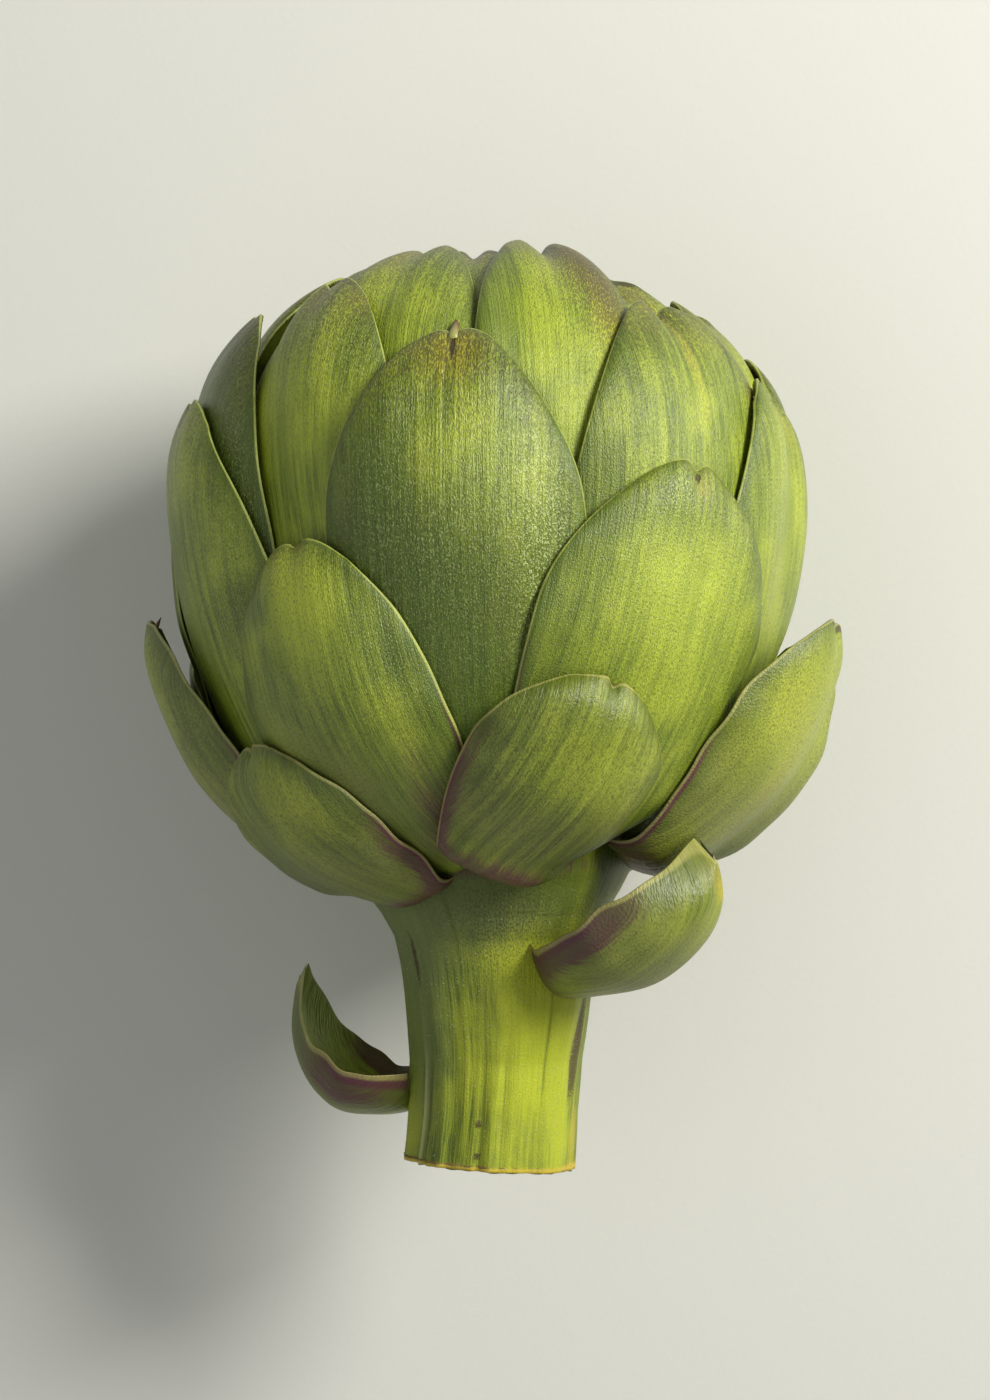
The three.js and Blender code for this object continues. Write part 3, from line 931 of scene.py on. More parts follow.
    def laid_over(self, mould: Mould) -> tuple[dict[str, np.ndarray], np.ndarray, np.ndarray]:
        """Lifts the blade clear of what is under it and presses it flat on the floor.

        Args:
            mould: what lies under it; the blade is added to it.

        Returns:
            The lattice, and the outer and inner faces' points.
        """
        lattice = self.lattice()
        u, v, d, rho = (lattice[name] for name in ("u", "v", "d", "rho"))
        under = mould.height(d)
        need = np.where(under > 0, under + self.CLEARANCE - rho, 0)
        lift = spread(np.maximum(need, 0), self.LIFT_REACH, True)
        lift = spread(spread(lift, self.LIFT_REACH, False), self.LIFT_SOFTENING, False)
        inner = d * (rho + lift)[..., None]
        start, (loss, ebb) = self.row.shown_from, self.SWELL_LOSS
        swell = smooth_step(v, start, start + self.SWELL_OVER)
        swell = swell * (1 - loss * smooth_step(v, ebb, 1.0)) * (1 - u * u)
        outer = inner + d * (self.thickness(u, v) + self.dome * swell)[..., None]
        mould.lay(finer(outer, self.LAID_FINER))
        pressed = np.maximum(0, -HEAD.floor_below_axis - outer[..., 2])
        outer[..., 2] += pressed
        least = np.where(pressed > 0, outer[..., 2], inner[..., 2])
        inner[..., 2] = np.maximum(inner[..., 2] + pressed, least)
        return lattice, outer, inner

    def skin_numbers(self, u: np.ndarray, v: np.ndarray) -> dict[str, np.ndarray]:
        """Strength of each tint at each point, from the row's own marks and this bract's."""
        found = tinted(ROW_MARKS[self.row] + self.marks, u, v)
        return {name: np.clip(values, 0, self.DEEPEST_TINT) for name, values in found.items()}

    def spine_sheet(self, outer: np.ndarray, inner: np.ndarray) -> Sheet:
        """The small hard point in the nick of the tip.

        Args:
            outer, inner: the blade's two faces.

        Returns:
            A six-sided spike that starts inside the blade.
        """
        middle = self.COLUMNS // 2
        root = (outer[-2, middle] + inner[-2, middle]) / 2
        run = outer[-1, middle] - outer[-3, middle]
        run /= np.linalg.norm(run)
        side = np.cross(run, root / np.linalg.norm(root))
        rise = np.cross(side, run)
        root_size = 0.35 + 0.14 * self.spine
        # Place along the point and radius, from inside the blade outwards.
        rings = [(-0.6, root_size), (0.6, root_size), (0.6 + 0.6 * self.spine, 0.6 * root_size),
                 (0.8 + self.spine, 0.06)]
        angles = np.arange(6) * math.pi / 3
        ring = np.cos(angles)[:, None] * side + np.sin(angles)[:, None] * rise
        points = np.vstack([root + run * place + ring * size for place, size in rings])
        faces = [tuple(range(5, -1, -1)), tuple(range(18, 24))]
        faces += [(6 * k + i, 6 * k + (i + 1) % 6, 6 * k + 6 + (i + 1) % 6, 6 * k + 6 + i)
                  for k in range(3) for i in range(6)]
        spike = Sheet(points, faces, {"spine": np.repeat([0.0, 0.2, 0.8, 1.0], 6)})
        spike.face_outwards()
        return spike

    def build(self, mould: Mould, skin: bpy.types.Material) -> bpy.types.Object:
        """Builds and dresses the bract.

        Args:
            mould: what lies under it.
            skin: its finish.

        Returns:
            The finished object.
        """
        lattice, outer, inner = self.laid_over(mould)
        sheet, ring = closed_shell(outer, inner, self.ROUND_RIM)
        u, v = lattice["u"].ravel(), lattice["v"].ravel()
        numbers = {name: lattice[name].ravel() for name in ("across", "along", "edge")}
        numbers |= self.skin_numbers(u, v)
        numbers["middle"] = 1 - np.abs(u)
        numbers["share"] = v
        full = {name: np.concatenate([n, n, n[ring]]) for name, n in numbers.items()}
        count = len(u)
        sides = [np.zeros(count), np.ones(count), np.full(len(ring), self.RIM_INSIDE)]
        full["inside"] = np.concatenate(sides)
        full["edge"] = full["edge"] + full["inside"]
        sheet.numbers = full
        sheet.face_outwards()
        if self.spine > 0:
            sheet.add(self.spine_sheet(outer, inner))
        # A share that differs from bract to bract, for the skin's noises.
        tone = ((self.az * 0.731 + self.tip * 1.37 + 400) % 10) / 10
        sheet.numbers["tone"] = np.full(len(sheet.points), tone)
        made = sheet.make("leaf_" + self.name, skin)
        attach(made, "root")
        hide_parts("bract_" + self.name)
        return made


T = Tint
# Marks on every bract of a row: own colours, painted light on the upper rows, and glossier patches
# with painted highlights.
ROW_MARKS: dict[Row, tuple[Mark, ...]] = {
    Row.CROWN: (
        T.FLECKS(0, 1.0, 2, 0.16, 0.7), T.GOLD(0, 1.02, 1.2, 0.05, 0.5),
        T.PURPLE(0, 0.95, 0.9, 0.05, 0.4), T.LIT(0, 0.8, 2, 0.3, 0.45),
        T.BROWN(0.2, 0.995, 0.9, 0.02, 0.75)
    ),
    Row.UPPER: (
        T.FLECKS(0, 1.0, 2, 0.15, 0.7), T.GOLD(0, 1.02, 1.2, 0.05, 0.5),
        T.PURPLE(0, 0.95, 0.9, 0.05, 0.25), T.LIT(0, 0.75, 2, 0.3, 0.4),
        T.BROWN(0.2, 0.995, 0.9, 0.016, 0.5), T.SILVER(0.7, 0.75, 0.22, 0.25, 0.5)
    ),
    Row.SHOULDER: (
        T.FLECKS(0, 1.0, 2, 0.13, 0.65), T.FLECKS(0, 0.6, 2, 0.3, 0.2),
        T.GOLD(0, 1.01, 1.2, 0.04, 0.45), T.PURPLE(0, 0.94, 0.8, 0.05, 0.25),
        T.SILVER(0, 0.6, 1.5, 0.3, 0.35), T.SILVER(0.7, 0.75, 0.22, 0.25, 0.5)
    ),
    Row.MIDDLE: (
        T.FLECKS(0, 1.0, 2, 0.12, 0.4), T.FLECKS(0, 0.6, 2, 0.3, 0.2),
        T.SILVER(0.7, 0.7, 0.22, 0.25, 0.5), T.GOLD(0, 1.01, 1.2, 0.04, 0.4),
        T.SILVER(0, 0.6, 1.5, 0.35, 0.35), T.BLOOM(0, 0.25, 2, 0.2, 0.4)
    ),
    Row.LOWER: (
        T.BLOOM(0, 0.35, 2, 0.3, 0.55), T.PURPLE(0, 0.04, 2, 0.1, 0.75),
        T.FLECKS(0, 0.7, 2, 0.4, 0.22), T.GOLD(0, 1.0, 1.2, 0.04, 0.5)
    ),
    Row.STEM: (
        T.BLOOM(0, 0.5, 2, 0.5, 0.6), T.GOLD(0, 1.0, 1.5, 0.1, 0.6)
    ),
}

CROWN = Bract(row=Row.CROWN, base=149, sink=(21, 14, 4.5), width=38, puff=0.8, notch=2.4, pinch=1.4,
              hood=0.5)
UPPER = Bract(row=Row.UPPER, base=151, sink=(16.5, 10.5, 2.4), width=44, notch=2.2, pinch=1.4,
              taper=0.55)
SHOULDER = Bract(row=Row.SHOULDER, base=153, sink=(11.5, 7, 2.2), width=47, notch=1.8)
MIDDLE = Bract(row=Row.MIDDLE, base=154, sink=(6.7, 4.4, 1.4), width=46)
LOWER = Bract(row=Row.LOWER, base=154, dive=4, sink=(2.4, 1.4, 0.4), width=39, waist=0.5,
              widest=0.55, puff=1.6, spine=0.9)

# Some bracts also carry painted light, painted shade and painted highlights among their marks.
BRACTS: tuple[Bract, ...] = (
    CROWN.at("crown_front", -4, -6, 15, flare=2),
    CROWN.at("crown_back", 178, 4, 13),
    CROWN.at("crown_left", -86, -4, 16),
    CROWN.at("crown_right", 80, 2, 21),
    CROWN.at("crown_front_right", 50, 0, 24),
    CROWN.at("crown_front_left", -46, -14, 19, flare=2),
    CROWN.at("crown_back_right", 132, 4, 21),
    CROWN.at("crown_back_left", -138, -6, 15, flare=2),
    UPPER.at("upper_front", -14, -22, 17, width=40, spine=2.6),
    UPPER.at("upper_left_back", -108, -3, 26, flare=2.5),
    UPPER.at("upper_back", -152, 5, 29),
    UPPER.at("upper_back_right", 158, -4, 31),
    UPPER.at("upper_right_back", 112, -4, 33),
    UPPER.at("upper_right", 76, 2, 34),
    UPPER.at("upper_front_right", 5, 30, 13.5, width=36, flare=2.5, pinch=2.6, notch=3, marks=(
        T.GOLD(0.5, 0.86, 0.35, 0.12, 0.6), T.FLECKS(0.5, 0.85, 0.5, 0.14, 0.6))),
    UPPER.at("upper_front_left", -32, -16, 35, width=48, flare=1, spine=2.2, marks=(
        T.SILVER(0.3, 0.88, 0.35, 0.08, 1.2),)),
    SHOULDER.at("shoulder_left", -73, -3, 42, width=49, flare=4.5, marks=(
        T.DARK(0, 0.7, 1.2, 0.6, 1.5),)),
    SHOULDER.at("shoulder_right", 31, 19, 38, width=51, flare=2, pinch=2.2, notch=3, marks=(
        T.GOLD(0, 0.92, 0.12, 0.1, 0.6), T.PURPLE(-0.4, 0.9, 0.3, 0.06, 0.3),
        T.LIT(0.1, 0.6, 0.8, 0.3, 0.25), T.PURPLE(0.8, 0.82, 0.2, 0.16, 0.55))),
    SHOULDER.at("shoulder_back_left", -134, 2, 44),
    SHOULDER.at("shoulder_back", 178, 2, 47),
    SHOULDER.at("shoulder_back_right", 134, 2, 45),
    SHOULDER.at("shoulder_right_back", 97, 3, 49, width=44, sink=(13, 9.5, 4.5)),
    SHOULDER.at("shoulder_front", -5, -3, 46.5, width=48, widest=0.64, puff=2, notch=0.6,
        spine=5.2, marks=(
        T.GOLD(0.1, 0.94, 0.4, 0.06, 0.7), T.BROWN(0.0, 0.965, 0.03, 0.03, 0.9),
        T.SILVER(0.65, 0.62, 0.16, 0.2, 1.2), T.LIT(0.3, 0.82, 0.5, 0.12, 0.4),
        T.DARK(-0.2, 0.4, 1.1, 0.3, 1.4), T.DARK(-0.6, 0.7, 0.3, 0.3, 0.6),
        T.SILVER(0, 0.75, 0.8, 0.2, 0.4))),
    MIDDLE.at("middle_right", 68, 4, 55, width=42, sink=(8.7, 7, 3), marks=(
        T.GOLD(0.3, 0.93, 0.5, 0.09, 0.5), T.BROWN(0.05, 0.97, 0.06, 0.016, 0.8),
        T.LIT(0, 0.65, 1.2, 0.4, 0.5), T.SILVER(-0.3, 0.8, 0.35, 0.16, 1.4))),
    MIDDLE.at("middle_left", -66, -10, 60, width=49, flare=4, sink=(8.7, 7, 3), marks=(
        T.DARK(-0.3, 0.6, 0.8, 0.4, 0.6), T.BROWN(-0.7, 0.93, 0.3, 0.04, 0.4))),
    MIDDLE.at("middle_left_back", -112, 2, 64, width=41, sink=(8.7, 7, 3.4)),
    MIDDLE.at("middle_back_left", -143, -2, 66, width=42),
    MIDDLE.at("middle_back_right", 144, 3, 68, width=42),
    MIDDLE.at("middle_right_back", 114, 2, 66, width=40, sink=(8.7, 7, 3)),
    MIDDLE.at("middle_back", 180, 0, 70, flare=4.6, hood=2.5),
    MIDDLE.at("middle_front_right", 10, 30, 71, width=47, flare=1, spine=0.4, marks=(
        T.BROWN(0.0, 0.974, 0.045, 0.013, 1.1), T.GOLD(0.05, 0.945, 0.16, 0.03, 0.6),
        T.LIT(0.1, 0.72, 0.9, 0.22, 0.6), T.SILVER(0, 0.88, 0.7, 0.1, 0.6),
        T.SILVER(-0.25, 0.93, 0.16, 0.04, 1.3), T.DARK(-0.5, 0.35, 0.6, 0.25, 0.6))),
    MIDDLE.at("middle_front_left", -17, -22, 84, width=42.5, widest=0.45, taper=0.5, marks=(
        T.LIT(0.1, 0.85, 0.45, 0.2, 0.9), T.BLOOM(-0.3, 0.45, 0.7, 0.3, 0.5),
        T.DARK(0.2, 0.3, 0.8, 0.2, 0.5), T.PURPLE(0.6, 0.25, 0.3, 0.2, 0.55),
        T.PURPLE(0.2, 0.12, 0.5, 0.1, 0.5))),
    LOWER.at("lower_right_back", 104, 0, 99, flare=7.5, puff=5.5, base=151),
    LOWER.at("lower_left_back", -122, 3, 97, flare=4),
    LOWER.at("lower_left", -84, -6, 97, width=38, flare=7, taper=0.8, spine=2.0, marks=(
        T.SILVER(0, 0.7, 1, 0.3, 0.7), T.BROWN(-0.1, 0.98, 0.3, 0.03, 0.6))),
    LOWER.at("lower_right", 60, 14, 97, width=36, flare=9, base=151, puff=3, marks=(
        T.LIT(0, 0.65, 1, 0.4, 0.9), T.BROWN(0.2, 0.995, 0.8, 0.02, 0.9),
        T.GOLD(-0.2, 0.6, 0.8, 0.3, 0.25), T.SILVER(0, 0.6, 1, 0.3, 0.4))),
    LOWER.at("lower_back_right", 150, 3, 100, flare=8, hood=3),
    LOWER.at("lower_back_left", -154, 0, 101, flare=8, hood=3),
    LOWER.at("lower_front", -3, 26, 108.5, width=35, flare=2, base=148, marks=(
        T.PURPLE(-0.95, 0.3, 0.12, 0.4, 0.8), T.PURPLE(0, 0.12, 0.9, 0.1, 0.35),
        T.LIT(0.2, 0.7, 0.8, 0.3, 0.6))),
    LOWER.at("lower_front_left", -30, -28, 121, width=34, base=161, marks=(
        T.PURPLE(0.95, 0.25, 0.14, 0.3, 0.9), T.PURPLE(-0.2, 0.1, 0.9, 0.12, 0.5),
        T.LIT(0.5, 0.75, 0.4, 0.25, 0.6), T.DARK(-0.4, 0.5, 0.5, 0.3, 0.5))),
    LOWER.at("lower_back", 176, 2, 116, width=34, flare=3.5, hood=3),
    LOWER.at("stem_right", 38, 17, 136, row=Row.STEM, base=168, width=25, waist=0.3, widest=0.5,
        taper=0.94, dive=5, sink=(-11, -12, -8.5), dip=5, notch=0, rim=0.2, marks=(
        T.PURPLE(-0.95, 0.38, 0.17, 0.34, 1.3), T.PURPLE(0.1, 0.06, 1.2, 0.1, 0.95),
        T.GOLD(0.4, 0.93, 0.5, 0.08, 0.6), T.LIT(0.2, 0.8, 0.8, 0.2, 0.6))),
    LOWER.at("stem_left", -100, -6, 153.5, row=Row.STEM, base=172, width=17, waist=0.6, widest=0.4,
        taper=0.95, dive=0, sink=(-30.3, -30.8, -19.8), dip=4, notch=0, rim=0.2, marks=(
        T.PURPLE(0.85, 0.4, 0.3, 0.4, 1.1), T.PURPLE(-0.95, 0.3, 0.16, 0.35, 1.3))),
)


@dataclass
class Leaves:
    """All the bracts, laid from the innermost out."""

    mould: Mould

    def skins(self) -> dict[str, bpy.types.Material]:
        """The finish of each slot."""
        return {
            "upper_bract": BractSkin("upper_bract_skin").material(),
            "head_bract": BractSkin("head_bract_skin").material(),
            "lower_bract": BractSkin(
                "lower_bract_skin", light=paint(180, 192, 62), green=paint(137, 154, 42),
                deep=paint(79, 95, 26), bloom=paint(134, 134, 82), purple=paint(104, 44, 62),
                margin=paint(180, 176, 104)).material(),
            "stem_bract": BractSkin(
                "stem_bract_skin", light=paint(182, 194, 64), green=paint(134, 149, 46),
                deep=paint(85, 98, 30), margin=paint(172, 168, 92)).material(),
        }

    def build(self) -> list[bpy.types.Object]:
        """Builds every bract.

        Returns:
            The objects.
        """
        skins = self.skins()
        return [bract.build(self.mould, skins[bract.row.slot]) for bract in BRACTS]


# --- Geometry node trees ---


class ShapeTree(Tree):
    """A geometry node tree with named inputs, run once on an object to make a plain mesh."""

    KINDS = {int: "NodeSocketInt", float: "NodeSocketFloat"}

    def __init__(self, name: str, inputs: dict[str, Setting]) -> None:
        """Starts the tree.

        Args:
            name: the tree's name.
            inputs: the named inputs and the values that they are run with.
        """
        super().__init__(bpy.data.node_groups.new(name, "GeometryNodeTree"))
        self.values = inputs
        face = self.tree.interface
        for side in ("INPUT", "OUTPUT"):
            face.new_socket("Geometry", in_out=side, socket_type="NodeSocketGeometry")
        self.sockets: dict[str, str] = {}
        for key, value in inputs.items():
            kind = self.KINDS.get(type(value), "NodeSocketMaterial")
            self.sockets[key] = face.new_socket(key, in_out="INPUT", socket_type=kind).identifier
        self.start = self.node("NodeGroupInput")
        self.end = self.tree.nodes.new("NodeGroupOutput")

    def chance(self, low: Union[float, Triple], high: Union[float, Triple],
               seed: Union[Wire, int]) -> Wire:
        """Random values.

        Args:
            low, high: their range, two numbers or two vectors.
            seed: fixes them.

        Returns:
            The values.
        """
        kind, first = ("FLOAT", 2) if isinstance(low, float) else ("FLOAT_VECTOR", 0)
        return self.node("FunctionNodeRandomValue", {"data_type": kind},
                         {first: low, first + 1: high, "Seed": seed}, first // 2)

    def close(self, shape: Wire) -> None:
        """Ends the tree in Realize Instances and Set Material with its "Finish" input."""
        real = self.node("GeometryNodeRealizeInstances", None, {0: shape})
        done = self.node("GeometryNodeSetMaterial", None,
                         {"Geometry": real, "Material": self.start.other("Finish")})
        self.tree.links.new(done.socket, self.end.inputs[0])

    def run(self, base: bpy.types.Object, name: str) -> bpy.types.Object:
        """Evaluates the tree on an object.

        Args:
            base: the object that it starts from; its mesh isn't changed.
            name: the name of the result.

        Returns:
            A new object with the result as a plain mesh.
        """
        helper = linked(name, base.data)
        modifier = helper.modifiers.new("shape", "NODES")
        modifier.node_group = self.tree
        for key, value in self.values.items():
            modifier[self.sockets[key]] = value
        graph = bpy.context.evaluated_depsgraph_get()
        mesh = bpy.data.meshes.new_from_object(helper.evaluated_get(graph), depsgraph=graph)
        helper.modifiers.clear()
        helper.data = mesh
        mesh.name = name
        return helper


@dataclass(frozen=True)
class Down:
    """Short hairs scattered over a skin: `per_cm2` of them where its `downy` number is 1."""

    per_cm2: float = 420.0
    length_mm: float = 0.5
    thick_mm: float = 0.045
    seed: int = 11
    size_seed: int = 5
    lean: float = 0.8
    full_turn: float = 6.28
    sizes: tuple[float, float] = (0.5, 1.3)

    CM2_IN_M2 = 1e4

    def tree(self, finish: bpy.types.Material) -> ShapeTree:
        """The node tree.

        Args:
            finish: the hairs' material.

        Returns:
            The tree, ready to run on a skin.
        """
        t = ShapeTree("down", {"Density": self.per_cm2 * self.CM2_IN_M2, "Finish": finish,
                               "Length": self.length_mm * MM, "Radius": self.thick_mm / 2 * MM,
                               "Seed": self.seed})
        seed = t.start.other("Seed")
        downy = t.node("GeometryNodeInputNamedAttribute", {"data_type": "FLOAT"}, {"Name": "downy"})
        spots = t.node("GeometryNodeDistributePointsOnFaces", {"distribute_method": "RANDOM"},
                       {"Mesh": t.start, "Density": downy * t.start.other("Density"), "Seed": seed})
        hair = t.node("GeometryNodeMeshCone", {"fill_type": "NGON"},
                      {"Vertices": 3, "Side Segments": 1, "Fill Segments": 1, "Radius Top": 0.0,
                       "Radius Bottom": t.start.other("Radius"), "Depth": t.start.other("Length")})
        tilt = t.chance((-self.lean, -self.lean, 0.0), (self.lean, self.lean, self.full_turn), seed)
        turned = t.node("FunctionNodeRotateRotation", {"rotation_space": "LOCAL"},
                        {0: spots.other("Rotation"), 1: tilt})
        size = t.chance(*self.sizes, self.size_seed)
        t.close(t.node("GeometryNodeInstanceOnPoints", None,
                       {"Points": spots, "Instance": hair, "Rotation": turned, "Scale": size}))
        return t


@dataclass(frozen=True)
class Spiral:
    """Copies of a small piece set by the sunflower rule, each a golden angle on from the last.

    The last one lies `rise_mm` higher than the first, so that each covers the ones inside it.
    """

    count: int = 16
    spread_mm: float = 15.0
    dome_mm: float = 46.0
    rise_mm: float = 6.5
    seed: int = 4
    first: float = 0.02
    sizes: tuple[float, float] = (0.8, 1.2)

    GOLDEN_ANGLE = math.radians(137.50776)

    def tree(self, finish: bpy.types.Material) -> ShapeTree:
        """The node tree.

        Args:
            finish: the copies' material.

        Returns:
            The tree, ready to run on the small piece.
        """
        t = ShapeTree("spiral", {"Count": self.count, "Spread": self.spread_mm * MM,
                                 "Dome": self.dome_mm * MM, "Rise": self.rise_mm * MM,
                                 "Seed": self.seed, "Finish": finish})
        count, dome, seed = (t.start.other(key) for key in ("Count", "Dome", "Seed"))
        line = t.node("GeometryNodeMeshLine", None, {"Count": count})
        number = t.node("GeometryNodeInputIndex")
        angle = number * self.GOLDEN_ANGLE
        share = number / count
        out = t.math("SQRT", share + self.first) * t.start.other("Spread")
        x, z = out * t.math("COSINE", angle), out * t.math("SINE", angle)
        y = share * t.start.other("Rise") - out * out / (dome * 2.0)
        set_at = t.node("GeometryNodeSetPosition", None,
                        {"Geometry": line, "Position": t.vector(x, y, z)})
        upright = t.node("FunctionNodeAlignRotationToVector", {"axis": "Z"},
                         {"Vector": t.vector(x, dome, z)})
        turn = t.node("FunctionNodeAlignRotationToVector", {"axis": "Y", "pivot_axis": "Z"},
                      {"Rotation": upright, "Vector": t.vector(0.0 - x, 0.0, 0.0 - z)})
        size = t.chance(*self.sizes, seed)
        copies = t.node("GeometryNodeInstanceOnPoints", None,
                        {"Points": set_at, "Instance": t.start, "Rotation": turn, "Scale": size})
        tone = t.chance(0.0, 1.0, seed)
        t.close(t.node("GeometryNodeStoreNamedAttribute",
                       {"data_type": "FLOAT", "domain": "INSTANCE"},
                       {"Geometry": copies, "Name": "tone", "Value": tone}))
        return t


# --- Stem and bud ---


@dataclass(frozen=True)
class Stem:
    """The cut stem with its ribs, pads and scars, and the receptacle inside the head.

    Marks, grooves and pads are placed by azimuth in degrees and height above the cut.
    """

    drift: float = 1.5
    cut_slope: float = -0.061
    sides: int = 180
    # Rings up the neck and over the receptacle: from, to and how many.
    rings: tuple[tuple[float, float, int], ...] = ((0.0, 50.0, 130), (50.6, 69.79, 20))
    # Some marks are painted light and painted shade: darker in the grooves, round the far side and
    # in a band under the head, lighter on the stem's lit faces.
    marks: tuple[Mark, ...] = (
        T.BLOOM(-62, 30, 34, 30, 0.9), T.BLOOM(2, 45, 60, 9, 0.8), T.BLOOM(70, 34, 22, 7, 0.9),
        T.LIT(15, 15, 45, 25, 0.7), T.LIT(18, 34, 16, 12, 0.8), T.LIT(52, 16, 16, 20, 1.0),
        T.DARK(-9, 14, 1.6, 16, 0.8), T.DARK(6, 12, 1.2, 14, 0.6), T.DARK(34, 22, 1.8, 18, 0.7),
        T.DARK(-34, 24, 3, 14, 0.5), T.DARK(-22, 36, 1.2, 12, 0.5), T.DARK(175, 20, 40, 30, 0.4),
        T.BROWN(-11, 8, 2.4, 0.8, 0.75), T.BROWN(-10, 2.6, 3.0, 0.8, 0.7),
        T.BROWN(-56, 36, 2.2, 5, 0.8), T.BROWN(66, 20, 9, 8, 1.0), T.BROWN(-160, 30, 5, 8, 0.6),
        T.FLECKS(4, 42, 36, 12, 0.6), T.PURPLE(0, 52, 60, 3.5, 0.7), T.DARK(0, 50, 200, 8, 0.7),
        T.PURPLE(-60, 47, 26, 3, 0.6), T.PURPLE(66, 43, 16, 3, 0.5), T.GOLD(30, 0, 400, 0.9, 1.0),
        T.GOLD(80, 6, 12, 8, 0.6), T.LIT(-74, 8, 12, 11, 0.9), T.PALE(-59, 8, 2.2, 11, 1.0),
        T.DARK(-54, 9, 2.2, 12, 0.9)
    )
    # The soft flutes and the fine ribs: depth, waves round, twist for each millimetre, and start.
    flute: tuple[float, int] = (0.35, 8)
    ribs: tuple[tuple[float, int, float, float], ...] = ((0.16, 19, 0.04, 0), (0.1, 31, -0.07, 1))
    # Place and depth.
    grooves: tuple[tuple[float, float], ...] = (
        (-9, 0.4), (6, 0.25), (34, 0.4), (-34, 0.3), (-54, 0.8), (100, 0.3), (-140, 0.35))
    # Place, height, reach both ways and how far it stands out.
    pads: tuple[tuple[float, float, float, float, float], ...] = (
        (48, 33, 16, 9, 1.6), (-82, 14, 12, 16, 1.0), (20, 44, 30, 5, 0.8), (-40, 24, 10, 14, 0.5))
    # The cut face from its lip inwards: share of the radius, depth, and share of the lip's waves.
    dish: tuple[tuple[float, float, int], ...] = (
        (1.0, 0.9, 0), (0.992, -0.05, 1), (0.96, 0.0, 1), (0.85, 0.35, 0), (0.6, 0.5, 0),
        (0.3, 0.55, 0), (0.08, 0.6, 0))
    # Depth, waves round and start.
    lip: tuple[tuple[float, int, float], ...] = ((0.12, 11, 0), (0.1, 23, 1))

    NECK = 50
    GROOVE_REACH = 2.2
    GROOVE_FADE = (1.3, 30)
    SLOPE_REACH = 6
    GIRTH = 14.5
    DOWN_EVERYWHERE = 0.12
    DOWN_TO = 48
    DOWNIEST = (T.PALE(-5, 28, 22, 8, 1.0), T.PALE(42, 8, 12, 9, 0.9), T.PALE(60, 40, 20, 5, 1.0))
    DISH_THICKNESS = 0.6

    def surface(self, az: np.ndarray, y: np.ndarray) -> np.ndarray:
        """Points of the skin.

        Args:
            az: azimuths in degrees.
            y: distances from the cut.

        Returns:
            The points, from the middle of the head.
        """
        fade = np.maximum(0, 1 - y / self.NECK)
        a = np.radians(az)
        radius = HEAD.stem_radius(np.clip(y, 0, HEAD.stem_profile[-1][0]))
        radius = radius + self.flute[0] * fade * np.cos(self.flute[1] * a)
        radius = radius + fade * sum(deep * np.cos(waves * a + twist * y + start)
                                     for deep, waves, twist, start in self.ribs)
        for about, deep in self.grooves:
            away = (az - about + 180) % 360 - 180
            shown = np.clip(self.GROOVE_FADE[0] - y / self.GROOVE_FADE[1], 0, 1)
            radius = radius - deep * np.exp(-((away / self.GROOVE_REACH) ** 2)) * shown
        for about, height, wide, tall, lift in self.pads:
            away = (az - about + 180) % 360 - 180
            radius = radius + lift * np.exp(-((away / wide) ** 2) - ((y - height) / tall) ** 2)
        x = radius * np.sin(a) + self.drift * np.sin(math.pi * np.minimum(1, y / self.NECK))
        tilt = self.cut_slope * x * np.maximum(0, 1 - y / self.SLOPE_REACH)
        return np.stack(np.broadcast_arrays(x, y + tilt - HEAD.centre_y, radius * np.cos(a)), -1)

    def azimuths(self) -> np.ndarray:
        """Degrees of the points of one ring."""
        return np.arange(self.sides) * 360 / self.sides - 180

    def build_skin(self, finish: bpy.types.Material) -> bpy.types.Object:
        """The skin, closed under the receptacle.

        Args:
            finish: its material.

        Returns:
            The object.
        """
        heights = np.concatenate([np.linspace(*span) for span in self.rings])
        az, y = np.meshgrid(self.azimuths(), heights)
        faces, cell = ring_faces(len(heights), self.sides)
        faces += [tuple(cell[-1].tolist()), tuple(cell[0][::-1].tolist())]
        u, v = az.ravel(), y.ravel()
        downy = self.DOWN_EVERYWHERE * (v < self.DOWN_TO) + sum(m.over(u, v) for m in self.DOWNIEST)
        numbers = tinted(self.marks, u, v) | {"along": v, "share": np.ones_like(u), "downy": downy}
        numbers["across"] = np.radians(u) * self.GIRTH
        sheet = Sheet(self.surface(az, y).reshape(-1, 3), faces, numbers)
        sheet.face_outwards()
        return sheet.make("stem_skin", finish)

    def build_cut(self, finish: bpy.types.Material) -> bpy.types.Object:
        """The slightly sunken cut face with its ragged lip.

        Args:
            finish: the flesh's material.

        Returns:
            The object, a thin closed dish over the stem's end.
        """
        az = self.azimuths()
        edge = self.surface(az, np.zeros_like(az))
        middle = edge.mean(0)
        a = np.radians(az)
        ragged = sum(deep * np.sin(a * waves + start) for deep, waves, start in self.lip)
        layers = []
        for out, deep, rough in self.dish:
            layer = middle + (edge - middle) * out
            layer[:, 1] += deep - rough * ragged
            layers.append(layer)
        back = layers[0][:, 1].mean() + self.DISH_THICKNESS
        layers.append(np.array(layers[-1]) * [1, 0, 1] + [0, back, 0])
        faces, _ = ring_faces(len(layers), self.sides, closed=True)
        share = np.repeat([ring[0] for ring in self.dish + self.dish[-1:]], self.sides)
        sheet = Sheet(np.vstack(layers), faces, {"share": share})
        sheet.face_outwards()
        return sheet.make("stem_cut", finish)

